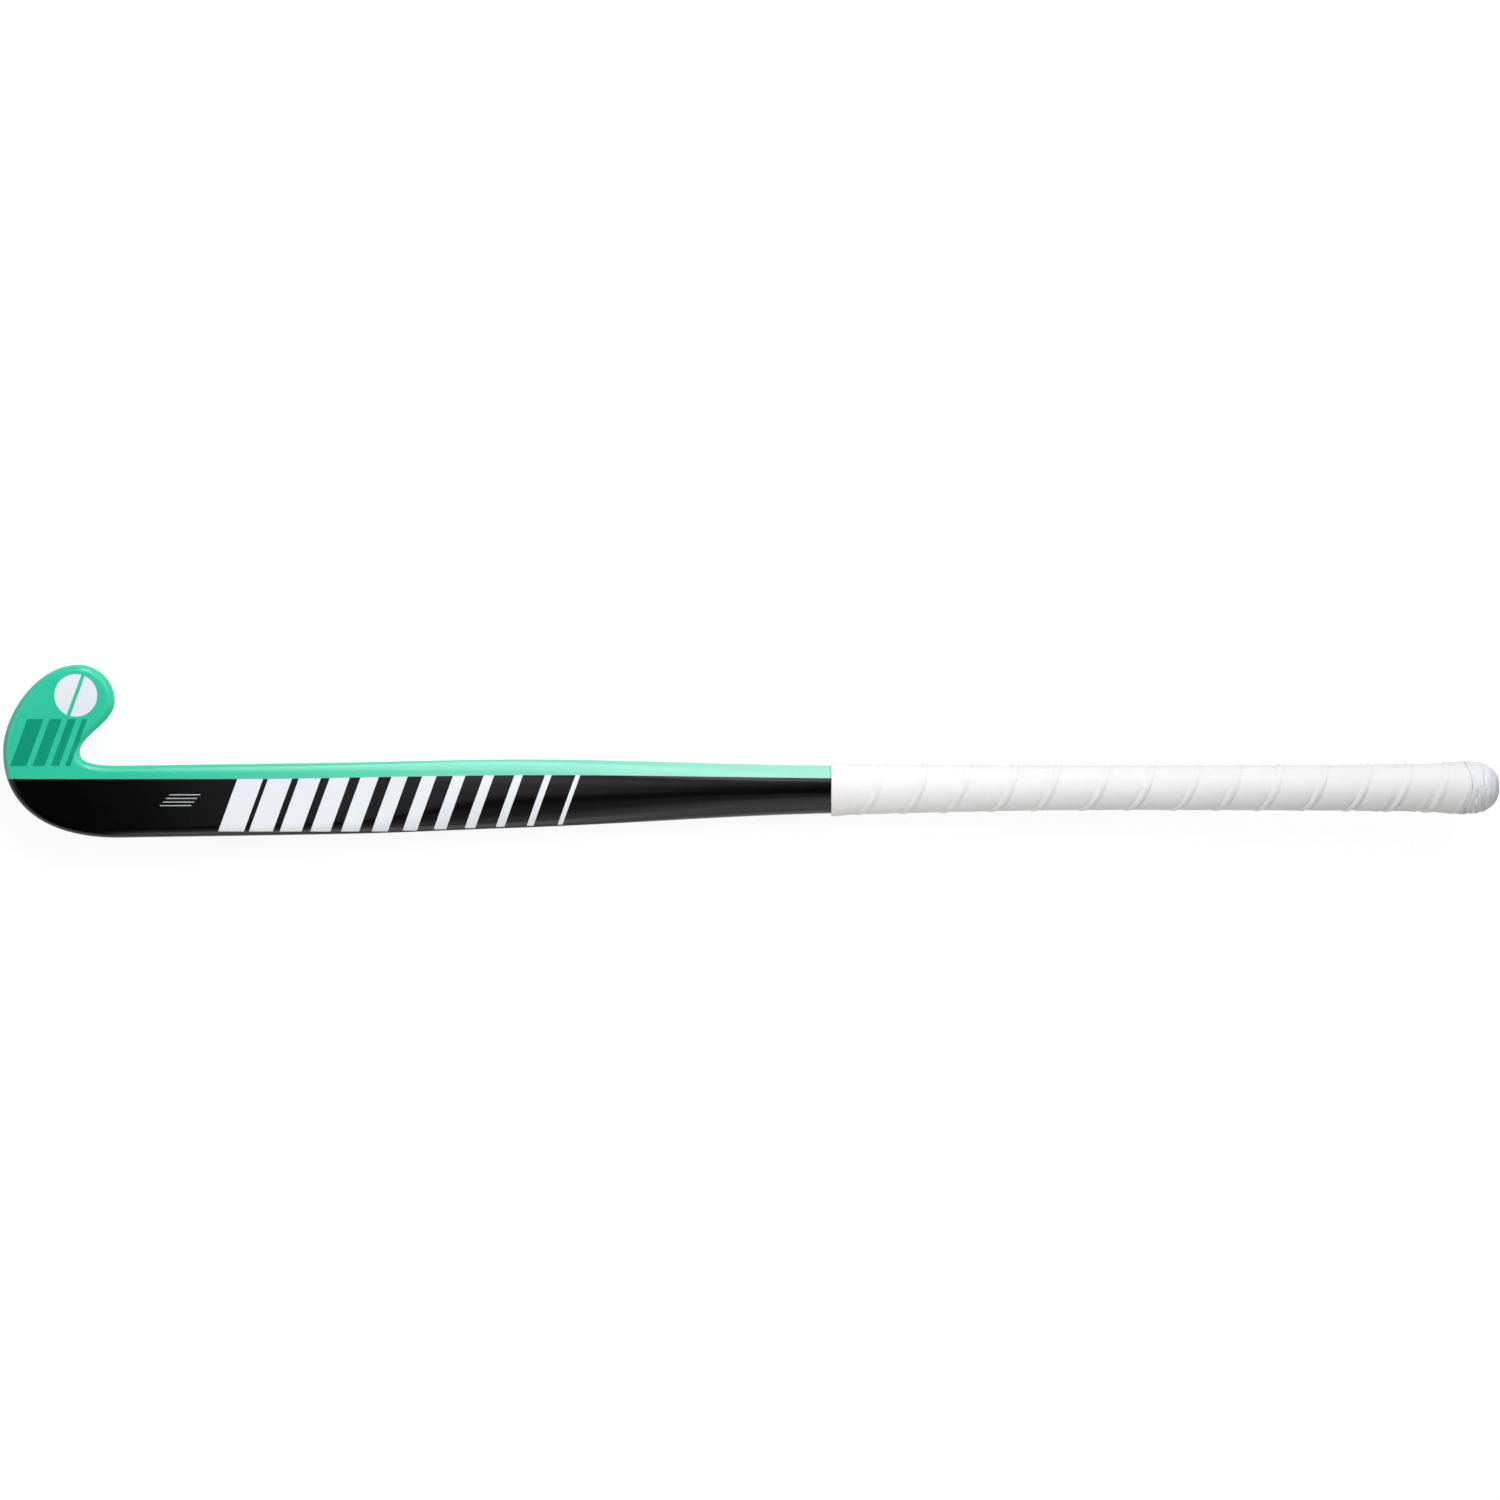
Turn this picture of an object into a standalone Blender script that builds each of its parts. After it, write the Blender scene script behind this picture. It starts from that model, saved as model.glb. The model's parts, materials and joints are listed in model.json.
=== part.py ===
"""An indoor hockey stick: a hollow composite shell round its cores, with a wound grip and a butt cup.

The stick is drawn in its own frame. X runs from the end of the head to the butt, Y from the
handle's axis towards the toe, and Z out of the flat playing face. Every size is in metres.
At the end the whole stick moves so that its origin is the bottom centre of its box.
"""

import math

import bpy
import numpy as np

# Overall length, and the play between two pieces that touch
STICK_LENGTH = 0.927
FIT = 0.0003

# Outline of the head, as places on its edge
HEEL_X = 0.0698
HEEL_DROP = 0.0311
BASE_RISE = 0.0223
TOE_X = 0.0464
TOE_RISE = 0.0762
NOSE_X = 0.0688
NOSE_RISE = 0.0539
UNDERCUT_X = 0.0564
UNDERCUT_RISE = 0.0353
UNDERCUT_SLOPE = math.radians(41.6)
THROAT_X = 0.0473
THROAT_RISE = 0.0223
NECK_X = 0.0720
NECK_RISE = 0.0136

# How far each curve of that outline is pulled to its corner, at its start and at its end
HEEL_PULLS = (0.563, 0.683)
BASE_PULLS = (0.438, 0.543)
TIP_PULLS = (0.540, 0.553)
NOSE_PULLS = (0.50, 1.0)
THROAT_PULLS = (0.90, 0.55)
NECK_PULLS = (0.81, 0.69)

# Thickness of the head, and how its edges are rounded
HEAD_DEPTH = 0.0175
FACE_EDGE_DEPTH = 0.0050
FACE_EDGE_RUN = 0.0048
BACK_RUN = 0.0200
SHAFT_BACK_RUN = 0.0145

# Shaft and handle: places along the length, with the width and thickness there
BELLY_X = 0.215
BELLY_WIDTH = 0.0444
BELLY_DEPTH = 0.0192
BELLY_OFFSET = -0.0066
BELLY_EDGE_RUN = 0.0078
TAPER_X = 0.315
TAPER_WIDTH = 0.0426
TAPER_DEPTH = 0.0205
TAPER_OFFSET = -0.0039
TAPER_EDGE_DEPTH = 0.0064
TAPER_EDGE_RUN = TAPER_WIDTH / 2
TAPER_BACK_RUN = 0.0125
THIN_X = 0.505
THIN_WIDTH = 0.0301
THIN_DEPTH = 0.0240
THIN_OFFSET = -0.0013
WAIST_X = 0.690
WAIST_WIDTH = 0.0257
WAIST_DEPTH = 0.0248
END_WIDTH = 0.0268
END_DEPTH = 0.0258

# Bow: the face is straight over the head and the handle, and bends between them
BOW_START_X = 0.110
BOW_END_X = 0.520
HEAD_SLOPE = 0.0680
HANDLE_SLOPE = 0.0590

# Shell, cores and the bridge between them
SHELL_WALL = 0.0024
HEAD_CORE_END_X = 0.108
FACE_LAYER = 0.0012
CORE_END_X = 0.500
BRIDGE_WALL = 0.0016

# Butt: plug, knob ring and cup
CUP_LENGTH = 0.0180
CUP_WALL = 0.0012
CUP_WIDTH = 0.0330
PLUG_SPIGOT = 0.0220
PLUG_FLANGE = 0.0030
KNOB_LENGTH = 0.0280
KNOB_WALL = 0.0017
KNOB_LIP = 0.0005

# Grip: one tape wound from the finishing tape to the cup
FINISH_START_X = 0.5137
FINISH_WIDTH = 0.0098
FINISH_THICKNESS = 0.0012
TAPE_PITCH = 0.0276
TAPE_GAP = 0.0005
TAPE_THICKNESS = 0.0007
TAPE_LAP = 0.0005
TAPE_LEAST_WIDTH = 0.0020

# Least distance in from an edge at which the rounding is read, so that the tip keeps a thickness
LEAST_INTO = 0.00005

# Resolution
ACROSS = 12
AROUND = 2 * ACROSS
BEND_STEPS = 11
TOE_STEPS = 12
CAP_STEPS = 5
SHAFT_STEP = 0.026
DOME_STEPS = 7
THROAT_SHARE = 0.42
FACE_LAYER_STEPS = 4
KNOB_STEPS = 5

# Shape of the butt's blunt end: higher powers make it squarer, along the stick and at its corner
DOME_ALONG_POWER = 2.5
DOME_CORNER_POWER = 2.2
DOME_LAST_SHARE = 0.998

# Places that follow from the sizes above
CUP_RIM_X = STICK_LENGTH - CUP_LENGTH
HANDLE_END_X = CUP_RIM_X - PLUG_FLANGE
SPIGOT_START_X = HANDLE_END_X - PLUG_SPIGOT
HANDLE_CORE_END_X = SPIGOT_START_X - FIT
CAVITY_INSET = SHELL_WALL + FIT


def bezier(start, pull_start, pull_end, end, t):
    """Points of a cubic Bezier curve at the parameters t."""
    t = np.asarray(t, float)[:, None]
    start, pull_start, pull_end, end = map(np.array, (start, pull_start, pull_end, end))
    return (
        (1 - t) ** 3 * start
        + 3 * (1 - t) ** 2 * t * pull_start
        + 3 * (1 - t) * t**2 * pull_end
        + t**3 * end
    )


def cornered(start, corner, end, pulls, t):
    """A curve that leaves start and reaches end along the lines through corner.

    pulls say how far its two handles go towards the corner.
    """
    start, corner, end = map(np.array, (start, corner, end))
    first, last = pulls
    return bezier(start, start + first * (corner - start), end + last * (corner - end), end, t)


def heel_edge(t):
    return cornered((HEEL_X, -HEEL_DROP), (0, -HEEL_DROP), (0, BASE_RISE), HEEL_PULLS, t)


def base_edge(t):
    return cornered((0, BASE_RISE), (0, TOE_RISE), (TOE_X, TOE_RISE), BASE_PULLS, t)


def tip_edge(t):
    corner = (NOSE_X, TOE_RISE)
    return cornered((TOE_X, TOE_RISE), corner, (NOSE_X, NOSE_RISE), TIP_PULLS, t)


def undercut_line(x):
    """Height of the straight line under the toe at x."""
    return UNDERCUT_RISE + (x - UNDERCUT_X) * math.tan(UNDERCUT_SLOPE)


def nose_edge(t):
    corner = (NOSE_X, undercut_line(NOSE_X))
    return cornered((UNDERCUT_X, UNDERCUT_RISE), corner, (NOSE_X, NOSE_RISE), NOSE_PULLS, t)


def throat_edge(t):
    corner = (THROAT_X, undercut_line(THROAT_X))
    end = (UNDERCUT_X, UNDERCUT_RISE)
    return cornered((THROAT_X, THROAT_RISE), corner, end, THROAT_PULLS, t)


def neck_edge(t):
    corner = (THROAT_X, NECK_RISE)
    return cornered((NECK_X, NECK_RISE), corner, (THROAT_X, THROAT_RISE), NECK_PULLS, t)


def smooth_through(places, values, x):
    """A curve through the values that never overshoots them, read at x and level past its ends."""
    places = np.array(places, float)
    values = np.array(values, float)
    x = np.clip(x, places[0], places[-1])
    run = np.diff(places)
    rise = np.diff(values) / run
    slope = np.zeros(len(places))
    product = rise[:-1] * rise[1:]
    total = np.where(product > 0, rise[:-1] + rise[1:], 1.0)
    slope[1:-1] = np.where(product > 0, 2 * product / total, 0.0)
    slope[0] = rise[0]
    slope[-1] = rise[-1]
    i = np.clip(np.searchsorted(places, x, side="right") - 1, 0, len(run) - 1)
    t = (x - places[i]) / run[i]
    return (
        (2 * t**3 - 3 * t**2 + 1) * values[i]
        + (t**3 - 2 * t**2 + t) * run[i] * slope[i]
        + (3 * t**2 - 2 * t**3) * values[i + 1]
        + (t**3 - t**2) * run[i] * slope[i + 1]
    )


STATIONS = (NECK_X, BELLY_X, TAPER_X, THIN_X, WAIST_X, HANDLE_END_X)
NECK_WIDTH = NECK_RISE + HEEL_DROP


def width(x):
    values = (NECK_WIDTH, BELLY_WIDTH, TAPER_WIDTH, THIN_WIDTH, WAIST_WIDTH, END_WIDTH)
    return smooth_through(STATIONS, values, x)


def offset(x):
    """Where the middle of the shaft lies, measured from the handle's axis."""
    values = (NECK_RISE - NECK_WIDTH / 2, BELLY_OFFSET, TAPER_OFFSET, THIN_OFFSET, 0, 0)
    return smooth_through(STATIONS, values, x)


def depth(x):
    values = (HEAD_DEPTH, BELLY_DEPTH, TAPER_DEPTH, THIN_DEPTH, WAIST_DEPTH, END_DEPTH)
    return smooth_through(STATIONS, values, x)


def face_edge_depth(x):
    """How far below the face the widest line of the section lies."""
    values = (
        FACE_EDGE_DEPTH,
        FACE_EDGE_DEPTH,
        TAPER_EDGE_DEPTH,
        THIN_DEPTH / 2,
        WAIST_DEPTH / 2,
        END_DEPTH / 2,
    )
    return smooth_through(STATIONS, values, x)


def face_edge_run(x):
    """How far in from the edge the face is rounded."""
    values = (
        FACE_EDGE_RUN,
        BELLY_EDGE_RUN,
        TAPER_EDGE_RUN,
        THIN_WIDTH / 2,
        WAIST_WIDTH / 2,
        END_WIDTH / 2,
    )
    return np.minimum(smooth_through(STATIONS, values, x), width(x) / 2)


def back_run(x):
    """How far in from the edge the back is rounded."""
    values = (
        BACK_RUN,
        SHAFT_BACK_RUN,
        TAPER_BACK_RUN,
        THIN_WIDTH / 2,
        WAIST_WIDTH / 2,
        END_WIDTH / 2,
    )
    return np.minimum(smooth_through(STATIONS, values, x), width(x) / 2)


def bow(x):
    """Height of the playing face along the stick: straight, then an even bend, then straight."""
    bend = BOW_END_X - BOW_START_X
    turn = HEAD_SLOPE + HANDLE_SLOPE
    along = np.clip(x - BOW_START_X, 0, bend)
    past = np.maximum(x - BOW_END_X, 0)
    return -HEAD_SLOPE * x + turn * along**2 / (2 * bend) + turn * past


def shaft_places(start, end):
    """Even places along the shaft from start to end."""
    count = max(1, round((end - start) / SHAFT_STEP))
    return np.linspace(start, end, count + 1)


def lower_edge(x):
    return np.column_stack([x, offset(x) - width(x) / 2])


def upper_edge(x):
    return np.column_stack([x, offset(x) + width(x) / 2])


def head_edges():
    """The head's outer and inner edge as matching points, from the neck round to the tip.

    The first and last pairs are left to the shaft and to the tip's small end face.
    """
    bend = np.linspace(0, 1, BEND_STEPS + 1)
    toe = np.linspace(0, 1, TOE_STEPS + 1)[1:]
    tip = 0.5 * np.sin(np.linspace(0, math.pi / 2, CAP_STEPS + 2))[1:-1]
    low = toe[toe <= THROAT_SHARE] / THROAT_SHARE
    high = (toe[toe > THROAT_SHARE] - THROAT_SHARE) / (1 - THROAT_SHARE)
    outer = np.vstack([heel_edge(bend), base_edge(toe), tip_edge(tip)])
    inner = np.vstack([neck_edge(bend), throat_edge(low), nose_edge(high), tip_edge(1 - tip)])
    return outer, inner


def edge_pairs(end):
    """Matching points of the two edges of the whole outline, from x = end round to the tip."""
    shaft = shaft_places(NECK_X, end)[:0:-1]
    head_outer, head_inner = head_edges()
    outer = np.vstack([lower_edge(shaft), head_outer])
    inner = np.vstack([upper_edge(shaft), head_inner])
    return outer, inner


def fine_outline():
    """The outline as one close row of points, from the handle round the head and back."""
    t = np.linspace(0, 1, 25)
    shaft = np.linspace(NECK_X, STICK_LENGTH, 90)
    curves = [
        lower_edge(shaft[::-1]),
        heel_edge(t),
        base_edge(t),
        tip_edge(t),
        nose_edge(t[::-1]),
        throat_edge(t[::-1]),
        neck_edge(t[::-1]),
        upper_edge(shaft),
    ]
    return np.vstack(curves)


OUTLINE = fine_outline()


def distance_in(points):
    """How far each point lies inside the outline."""
    start = OUTLINE[:-1]
    step = OUTLINE[1:] - start
    length = np.maximum((step**2).sum(axis=1), 1e-18)
    towards = points[:, None, :] - start
    t = np.clip((towards * step).sum(axis=2) / length, 0, 1)
    away = towards - t[..., None] * step
    return np.sqrt((away**2).sum(axis=2)).min(axis=1)


def inward(edge, inset, side):
    """The edge moved square to itself into the material by inset. side is 1 or -1."""
    along = np.gradient(edge, axis=0)
    along /= np.linalg.norm(along, axis=1)[:, None]
    normal = np.column_stack([along[:, 1], -along[:, 0]])
    return edge + side * inset * normal


def rounded(into, run, rise):
    """Drop of a quarter ellipse at a distance into the material, level past its run."""
    u = 1 - np.clip(into / np.maximum(run, 1e-6), 0, 1)
    return rise * (1 - np.sqrt(np.maximum(1 - u**2, 0)))


def surface_heights(points, into, inset, face_inset, back_inset):
    """Face and back heights over points that lie into the outline, less the insets."""
    x = points[:, 0]
    edge_line = face_edge_depth(x)
    inner = np.maximum(into - inset, 0)
    face_rise = edge_line - face_inset
    back_rise = depth(x) - edge_line - back_inset
    face = -face_inset - rounded(inner, face_edge_run(x) - inset, face_rise)
    back = -depth(x) + back_inset + rounded(inner, back_run(x) - inset, back_rise)
    return face + bow(x), back + bow(x)


def rings_between(start, end, shares, insets, open_start=False, open_end=False):
    """Closed rings over the lines from start to end: across the face and back along the back.

    shares are the places across, insets the side, face and back insets. A side that is open
    ends in a wall there, and any other side ends on the rounded edge.
    """
    count = len(shares)
    lines = start[:, None, :] + shares[None, :, None] * (end - start)[:, None, :]
    flat = lines.reshape(-1, 2)
    into = np.maximum(distance_in(flat), insets[0] + LEAST_INTO).reshape(-1, count)
    if not open_start:
        into[:, 0] = insets[0]
    if not open_end:
        into[:, -1] = insets[0]
    face, back = surface_heights(flat, into.reshape(-1), *insets)
    top = np.column_stack([flat, face]).reshape(-1, count, 3)
    bottom = np.column_stack([flat, back]).reshape(-1, count, 3)
    first = 0 if open_start else 1
    last = count if open_end else count - 1
    return np.concatenate([top, bottom[:, first:last][:, ::-1]], axis=1)


def even_shares():
    """Places across that crowd towards both edges, so that a half ellipse has even angles."""
    return (1 - np.cos(np.linspace(0, math.pi, ACROSS + 1))) / 2


def body_rings(insets, end, start=None):
    """Rings of the whole section, moved in by the insets, from x = end to the tip or to start."""
    if start is None:
        outer, inner = edge_pairs(end)
    else:
        places = shaft_places(start, end)[::-1]
        outer, inner = lower_edge(places), upper_edge(places)
    outer = inward(outer, insets[0], 1)
    inner = inward(inner, insets[0], -1)
    return rings_between(outer, inner, even_shares(), insets)


def ring_faces(rows, count, start=0):
    """Four-sided faces between following rings of one tube."""
    faces = []
    for row in range(rows - 1):
        for i in range(count):
            j = (i + 1) % count
            a = start + row * count
            b = a + count
            faces.append((a + i, a + j, b + j, b + i))
    return faces


def add_object(name, points, faces, material):
    """An object of the stick's collection, with its faces pointing out."""
    mesh = bpy.data.meshes.new(name)
    mesh.from_pydata([tuple(p) for p in points], [], faces)
    mesh.validate()
    mesh.materials.append(material)
    mesh.shade_smooth()
    mesh.set_sharp_from_angle(angle=math.radians(40))
    obj = bpy.data.objects.new(name, mesh)
    bpy.data.collections["hockey_stick"].objects.link(obj)
    return obj


def signed_volume(points, faces):
    total = 0.0
    for face in faces:
        a = points[face[0]]
        for i in range(1, len(face) - 1):
            total += np.dot(a, np.cross(points[face[i]], points[face[i + 1]]))
    return total / 6


def add_closed(name, points, faces, material):
    """A closed object. Its faces are all turned over if they point in."""
    if signed_volume(points, faces) < 0:
        faces = [face[::-1] for face in faces]
    return add_object(name, points, faces, material)


def add_loft(name, rings, material):
    """A solid through the rings, with a flat end on the first and the last."""
    rows, count = rings.shape[:2]
    faces = ring_faces(rows, count)
    faces.append(tuple(range(count))[::-1])
    faces.append(tuple(range((rows - 1) * count, rows * count)))
    return add_closed(name, rings.reshape(-1, 3), faces, material)


def add_cup(name, outer, inner, material):
    """A hollow solid: two tubes of rings that start at one open rim and end in closed ends."""
    rows, count = outer.shape[:2]
    inner_rows = inner.shape[0]
    shift = rows * count
    faces = ring_faces(rows, count)
    faces.append(tuple(range((rows - 1) * count, rows * count)))
    faces += [face[::-1] for face in ring_faces(inner_rows, count, shift)]
    faces.append(tuple(range(shift + (inner_rows - 1) * count, shift + inner_rows * count))[::-1])
    for i in range(count):
        j = (i + 1) % count
        faces.append((j, i, shift + i, shift + j))
    points = np.vstack([outer.reshape(-1, 3), inner.reshape(-1, 3)])
    return add_closed(name, points, faces, material)


def add_sleeve(name, outer, inner, material):
    """A tube open at both ends, from matching outer and inner rings."""
    rows, count = outer.shape[:2]
    shift = rows * count
    faces = ring_faces(rows, count)
    faces += [face[::-1] for face in ring_faces(rows, count, shift)]
    for row, turn in ((0, 1), (rows - 1, -1)):
        for i in range(count):
            j = (i + 1) % count
            a = row * count
            faces.append((a + j, a + i, a + shift + i, a + shift + j)[::turn])
    points = np.vstack([outer.reshape(-1, 3), inner.reshape(-1, 3)])
    return add_closed(name, points, faces, material)


def oval(x, lift, angle):
    """A point of the handle's oval section at x, moved out by lift, at an angle from the face."""
    across = (width(x) / 2 + lift) * np.sin(angle)
    up = (depth(x) / 2 + lift) * np.cos(angle)
    return np.stack([x + 0 * angle, offset(x) + across, bow(x) - depth(x) / 2 + up], axis=-1)


def oval_rings(places, lifts):
    """Rings of the handle's section at the places, each moved out by its lift."""
    angle = np.linspace(0, 2 * math.pi, AROUND, endpoint=False)
    return np.stack([oval(np.full(AROUND, x), lift, angle) for x, lift in zip(places, lifts)])


def dome_rings(start, end, half_width, half_depth):
    """Rings from the full section at start to a small flat end, along a blunt round end."""
    axis = np.array([0.0, bow(start) - depth(start) / 2])
    share = np.sin(np.linspace(0, math.pi / 2, DOME_STEPS + 1))[:-1]
    share = np.append(share, DOME_LAST_SHARE)
    angle = np.linspace(0, 2 * math.pi, AROUND, endpoint=False)
    rings = []
    for s in share:
        x = start + s * (end - start)
        size = (1 - s**DOME_ALONG_POWER) ** (1 / DOME_CORNER_POWER)
        across = axis[0] + half_width * size * np.sin(angle)
        up = axis[1] + bow(x) - bow(start) + half_depth * size * np.cos(angle)
        rings.append(np.column_stack([np.full(AROUND, x), across, up]))
    return np.stack(rings)


def knob_lift(x):
    """How far the knob ring's outside stands off the handle at x: an even cone."""
    start = HANDLE_END_X - KNOB_LENGTH
    return FIT + KNOB_LIP + (x - start) * (KNOB_WALL - KNOB_LIP) / KNOB_LENGTH


def tape_lift(x):
    """How far the tape's inside stands off the handle at x. It climbs as the knob's cone does."""
    return FIT + np.maximum(knob_lift(np.minimum(x, HANDLE_END_X)), 0)


def tape_turns():
    """Rings of the wound tape: one for each step round, with its cut ends square to the handle."""
    start = FINISH_START_X + FINISH_WIDTH + FIT
    end = CUP_RIM_X - FIT
    tape_width = TAPE_PITCH - TAPE_GAP
    first = start - tape_width / 2 + TAPE_LEAST_WIDTH
    last = end + tape_width / 2 - TAPE_LEAST_WIDTH
    steps = int((last - first) / TAPE_PITCH * AROUND)
    step = np.arange(steps + 1)
    middle = first + step * TAPE_PITCH / AROUND
    angle = step * 2 * math.pi / AROUND
    left = np.maximum(middle - tape_width / 2, start)
    right = np.minimum(middle + tape_width / 2, end)
    outside = (0.0, 0.12, 0.55, 1.0)
    inside = (1.0, 0.5, 0.0)
    rows = []
    for share in outside:
        x = left + share * (right - left)
        across = (x - middle) / tape_width + 0.5
        lap = TAPE_THICKNESS + TAPE_LAP * across**2
        rows.append(oval(x, tape_lift(x) + lap, angle))
    for share in inside:
        x = left + share * (right - left)
        rows.append(oval(x, tape_lift(x), angle))
    return np.stack(rows, axis=1)


def least_tape_gap(rings):
    """The least distance between one turn of the tape and the next, in metres."""
    fine = np.linspace(0, 1, 4, endpoint=False)[:, None, None]

    def along(row):
        edge = rings[:, row]
        return (edge[None, :-1] * (1 - fine) + edge[None, 1:] * fine).reshape(-1, 3)

    turn = AROUND // 2
    count = len(rings) - 1
    number = np.tile(np.arange(count), len(fine))
    right, left = along(3), along(0)
    apart = np.linalg.norm(right[:, None, :] - left[None, :, :], axis=2)
    other_turn = np.abs(number[:, None] - number[None, :]) > turn
    return apart[other_turn].min()


def material(name, colour, roughness, metallic=0.0):
    """A plain material of one colour."""
    made = bpy.data.materials.new(name)
    made.use_nodes = True
    shader = made.node_tree.nodes["Principled BSDF"]
    shader.inputs["Base Color"].default_value = (*colour, 1.0)
    shader.inputs["Roughness"].default_value = roughness
    shader.inputs["Metallic"].default_value = metallic
    made.diffuse_color = (*colour, 1.0)
    return made


def make_shell():
    lacquer = material("lacquered_composite", (0.03, 0.58, 0.38), 0.15)
    outer = body_rings((0, 0, 0), HANDLE_END_X)
    wall = (SHELL_WALL, SHELL_WALL, SHELL_WALL)
    inner = body_rings(wall, HANDLE_END_X)
    return add_cup("composite_shell", outer, inner, lacquer)


def make_head_core():
    """The dense filler of the head, below the layer behind the face."""
    filler = material("head_filler", (0.55, 0.50, 0.38), 0.6)
    face = CAVITY_INSET + FACE_LAYER + FIT
    rings = body_rings((CAVITY_INSET, face, CAVITY_INSET), HEAD_CORE_END_X)
    return add_loft("head_core", rings, filler)


def make_face_layer():
    """A thin damping sheet between the face wall and the head's filler, over the flat face."""
    damper = material("damping_elastomer", (0.10, 0.10, 0.11), 0.7)
    outer, inner = edge_pairs(HEAD_CORE_END_X)
    keep = len(outer) - CAP_STEPS
    start = inward(outer, FACE_EDGE_RUN + FIT, 1)[:keep]
    end = inward(inner, FACE_EDGE_RUN + FIT, -1)[:keep]
    shares = np.linspace(0, 1, FACE_LAYER_STEPS + 1)
    lines = start[:, None, :] + shares[None, :, None] * (end - start)[:, None, :]
    top = np.dstack([lines, bow(lines[..., 0]) - CAVITY_INSET])
    bottom = top - np.array([0, 0, FACE_LAYER])
    rings = np.concatenate([top, bottom[:, ::-1]], axis=1)
    return add_loft("face_damping_layer", rings, damper)


def make_shaft_cores():
    """The two foam cores of the shaft, and the bridge that joins face and back between them."""
    foam = material("core_foam", (0.80, 0.76, 0.62), 0.9)
    web = material("bridge_composite", (0.06, 0.06, 0.07), 0.5)
    insets = (CAVITY_INSET, CAVITY_INSET, CAVITY_INSET)
    places = shaft_places(HEAD_CORE_END_X + FIT, CORE_END_X)[::-1]
    middle = np.column_stack([places, offset(places)])
    half = np.array([0, BRIDGE_WALL / 2])
    clear = half + np.array([0, FIT])
    outward = np.sin(np.linspace(0, math.pi / 2, ACROSS // 2 + 1))
    upper = inward(upper_edge(places), CAVITY_INSET, -1)
    lower = inward(lower_edge(places), CAVITY_INSET, 1)
    toe_side = rings_between(middle + clear, upper, outward, insets, open_start=True)
    heel_side = rings_between(middle - clear, lower, outward, insets, open_start=True)
    bridge = rings_between(
        middle - half, middle + half, np.array([0.0, 1.0]), insets, open_start=True, open_end=True
    )
    add_loft("toe_side_core", toe_side, foam)
    add_loft("heel_side_core", heel_side, foam)
    add_loft("core_bridge", bridge, web)


def make_handle_core():
    foam = material("handle_foam", (0.74, 0.70, 0.58), 0.9)
    insets = (CAVITY_INSET, CAVITY_INSET, CAVITY_INSET)
    rings = body_rings(insets, HANDLE_CORE_END_X, start=CORE_END_X + FIT)
    return add_loft("handle_core", rings, foam)


def make_plug():
    """The plug that closes the handle: a spigot in the shell and a domed head on its end."""
    plastic = material("plug_plastic", (0.05, 0.05, 0.055), 0.5)
    head_start = HANDLE_END_X + FIT
    spigot = oval_rings((SPIGOT_START_X, head_start), (-CAVITY_INSET, -CAVITY_INSET))
    inset = CUP_WALL + FIT
    half_width = CUP_WIDTH / 2 - inset
    half_depth = half_width - (END_WIDTH - END_DEPTH) / 2
    dome = dome_rings(CUP_RIM_X, STICK_LENGTH - inset, half_width, half_depth)
    collar = dome[0].copy()
    collar[:, 2] += bow(head_start) - bow(CUP_RIM_X)
    collar[:, 0] = head_start
    rings = np.concatenate([spigot, collar[None], dome])
    return add_loft("butt_plug", rings, plastic)


def make_knob():
    """The ring on the end of the handle that swells the grip towards the butt."""
    rubber = material("knob_rubber", (0.16, 0.16, 0.17), 0.8)
    places = np.linspace(HANDLE_END_X - KNOB_LENGTH, HANDLE_END_X, KNOB_STEPS + 1)
    outer = oval_rings(places, knob_lift(places))
    inner = oval_rings(places, np.full(len(places), FIT))
    return add_sleeve("knob_ring", outer, inner, rubber)


def make_butt_cup():
    leather = material("cup_polyurethane", (0.80, 0.81, 0.84), 0.45)
    half_width = CUP_WIDTH / 2
    half_depth = half_width - (END_WIDTH - END_DEPTH) / 2
    outer = dome_rings(CUP_RIM_X, STICK_LENGTH, half_width, half_depth)
    inner = dome_rings(
        CUP_RIM_X, STICK_LENGTH - CUP_WALL, half_width - CUP_WALL, half_depth - CUP_WALL
    )
    return add_cup("butt_cup", outer, inner, leather)


def make_finishing_tape():
    tape = material("finishing_tape", (0.90, 0.90, 0.89), 0.5)
    places = np.linspace(FINISH_START_X, FINISH_START_X + FINISH_WIDTH, 3)
    outer = oval_rings(places, np.full(3, FIT + FINISH_THICKNESS))
    inner = oval_rings(places, np.full(3, FIT))
    return add_sleeve("finishing_tape", outer, inner, tape)


def make_grip_tape():
    grip = material("grip_polyurethane", (0.93, 0.93, 0.92), 0.45)
    rings = tape_turns()
    print(f"least gap between turns of the grip tape: {1000 * least_tape_gap(rings):.3f} mm")
    return add_loft("grip_tape", rings, grip)


def clear_scene():
    for obj in list(bpy.data.objects):
        bpy.data.objects.remove(obj, do_unlink=True)


def stand_on_origin(collection):
    """Moves the stick so that the origin is the bottom centre of the box round all its pieces."""
    points = np.vstack([[tuple(v.co) for v in obj.data.vertices] for obj in collection.objects])
    low, high = points.min(axis=0), points.max(axis=0)
    shift = np.array([(low[0] + high[0]) / 2, (low[1] + high[1]) / 2, low[2]])
    whole = bpy.data.objects.new("stick", None)
    pieces = list(collection.objects)
    collection.objects.link(whole)
    whole.location = -shift
    for obj in pieces:
        obj.parent = whole
    print("stick frame to origin:", [round(float(-s), 6) for s in shift])


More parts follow.
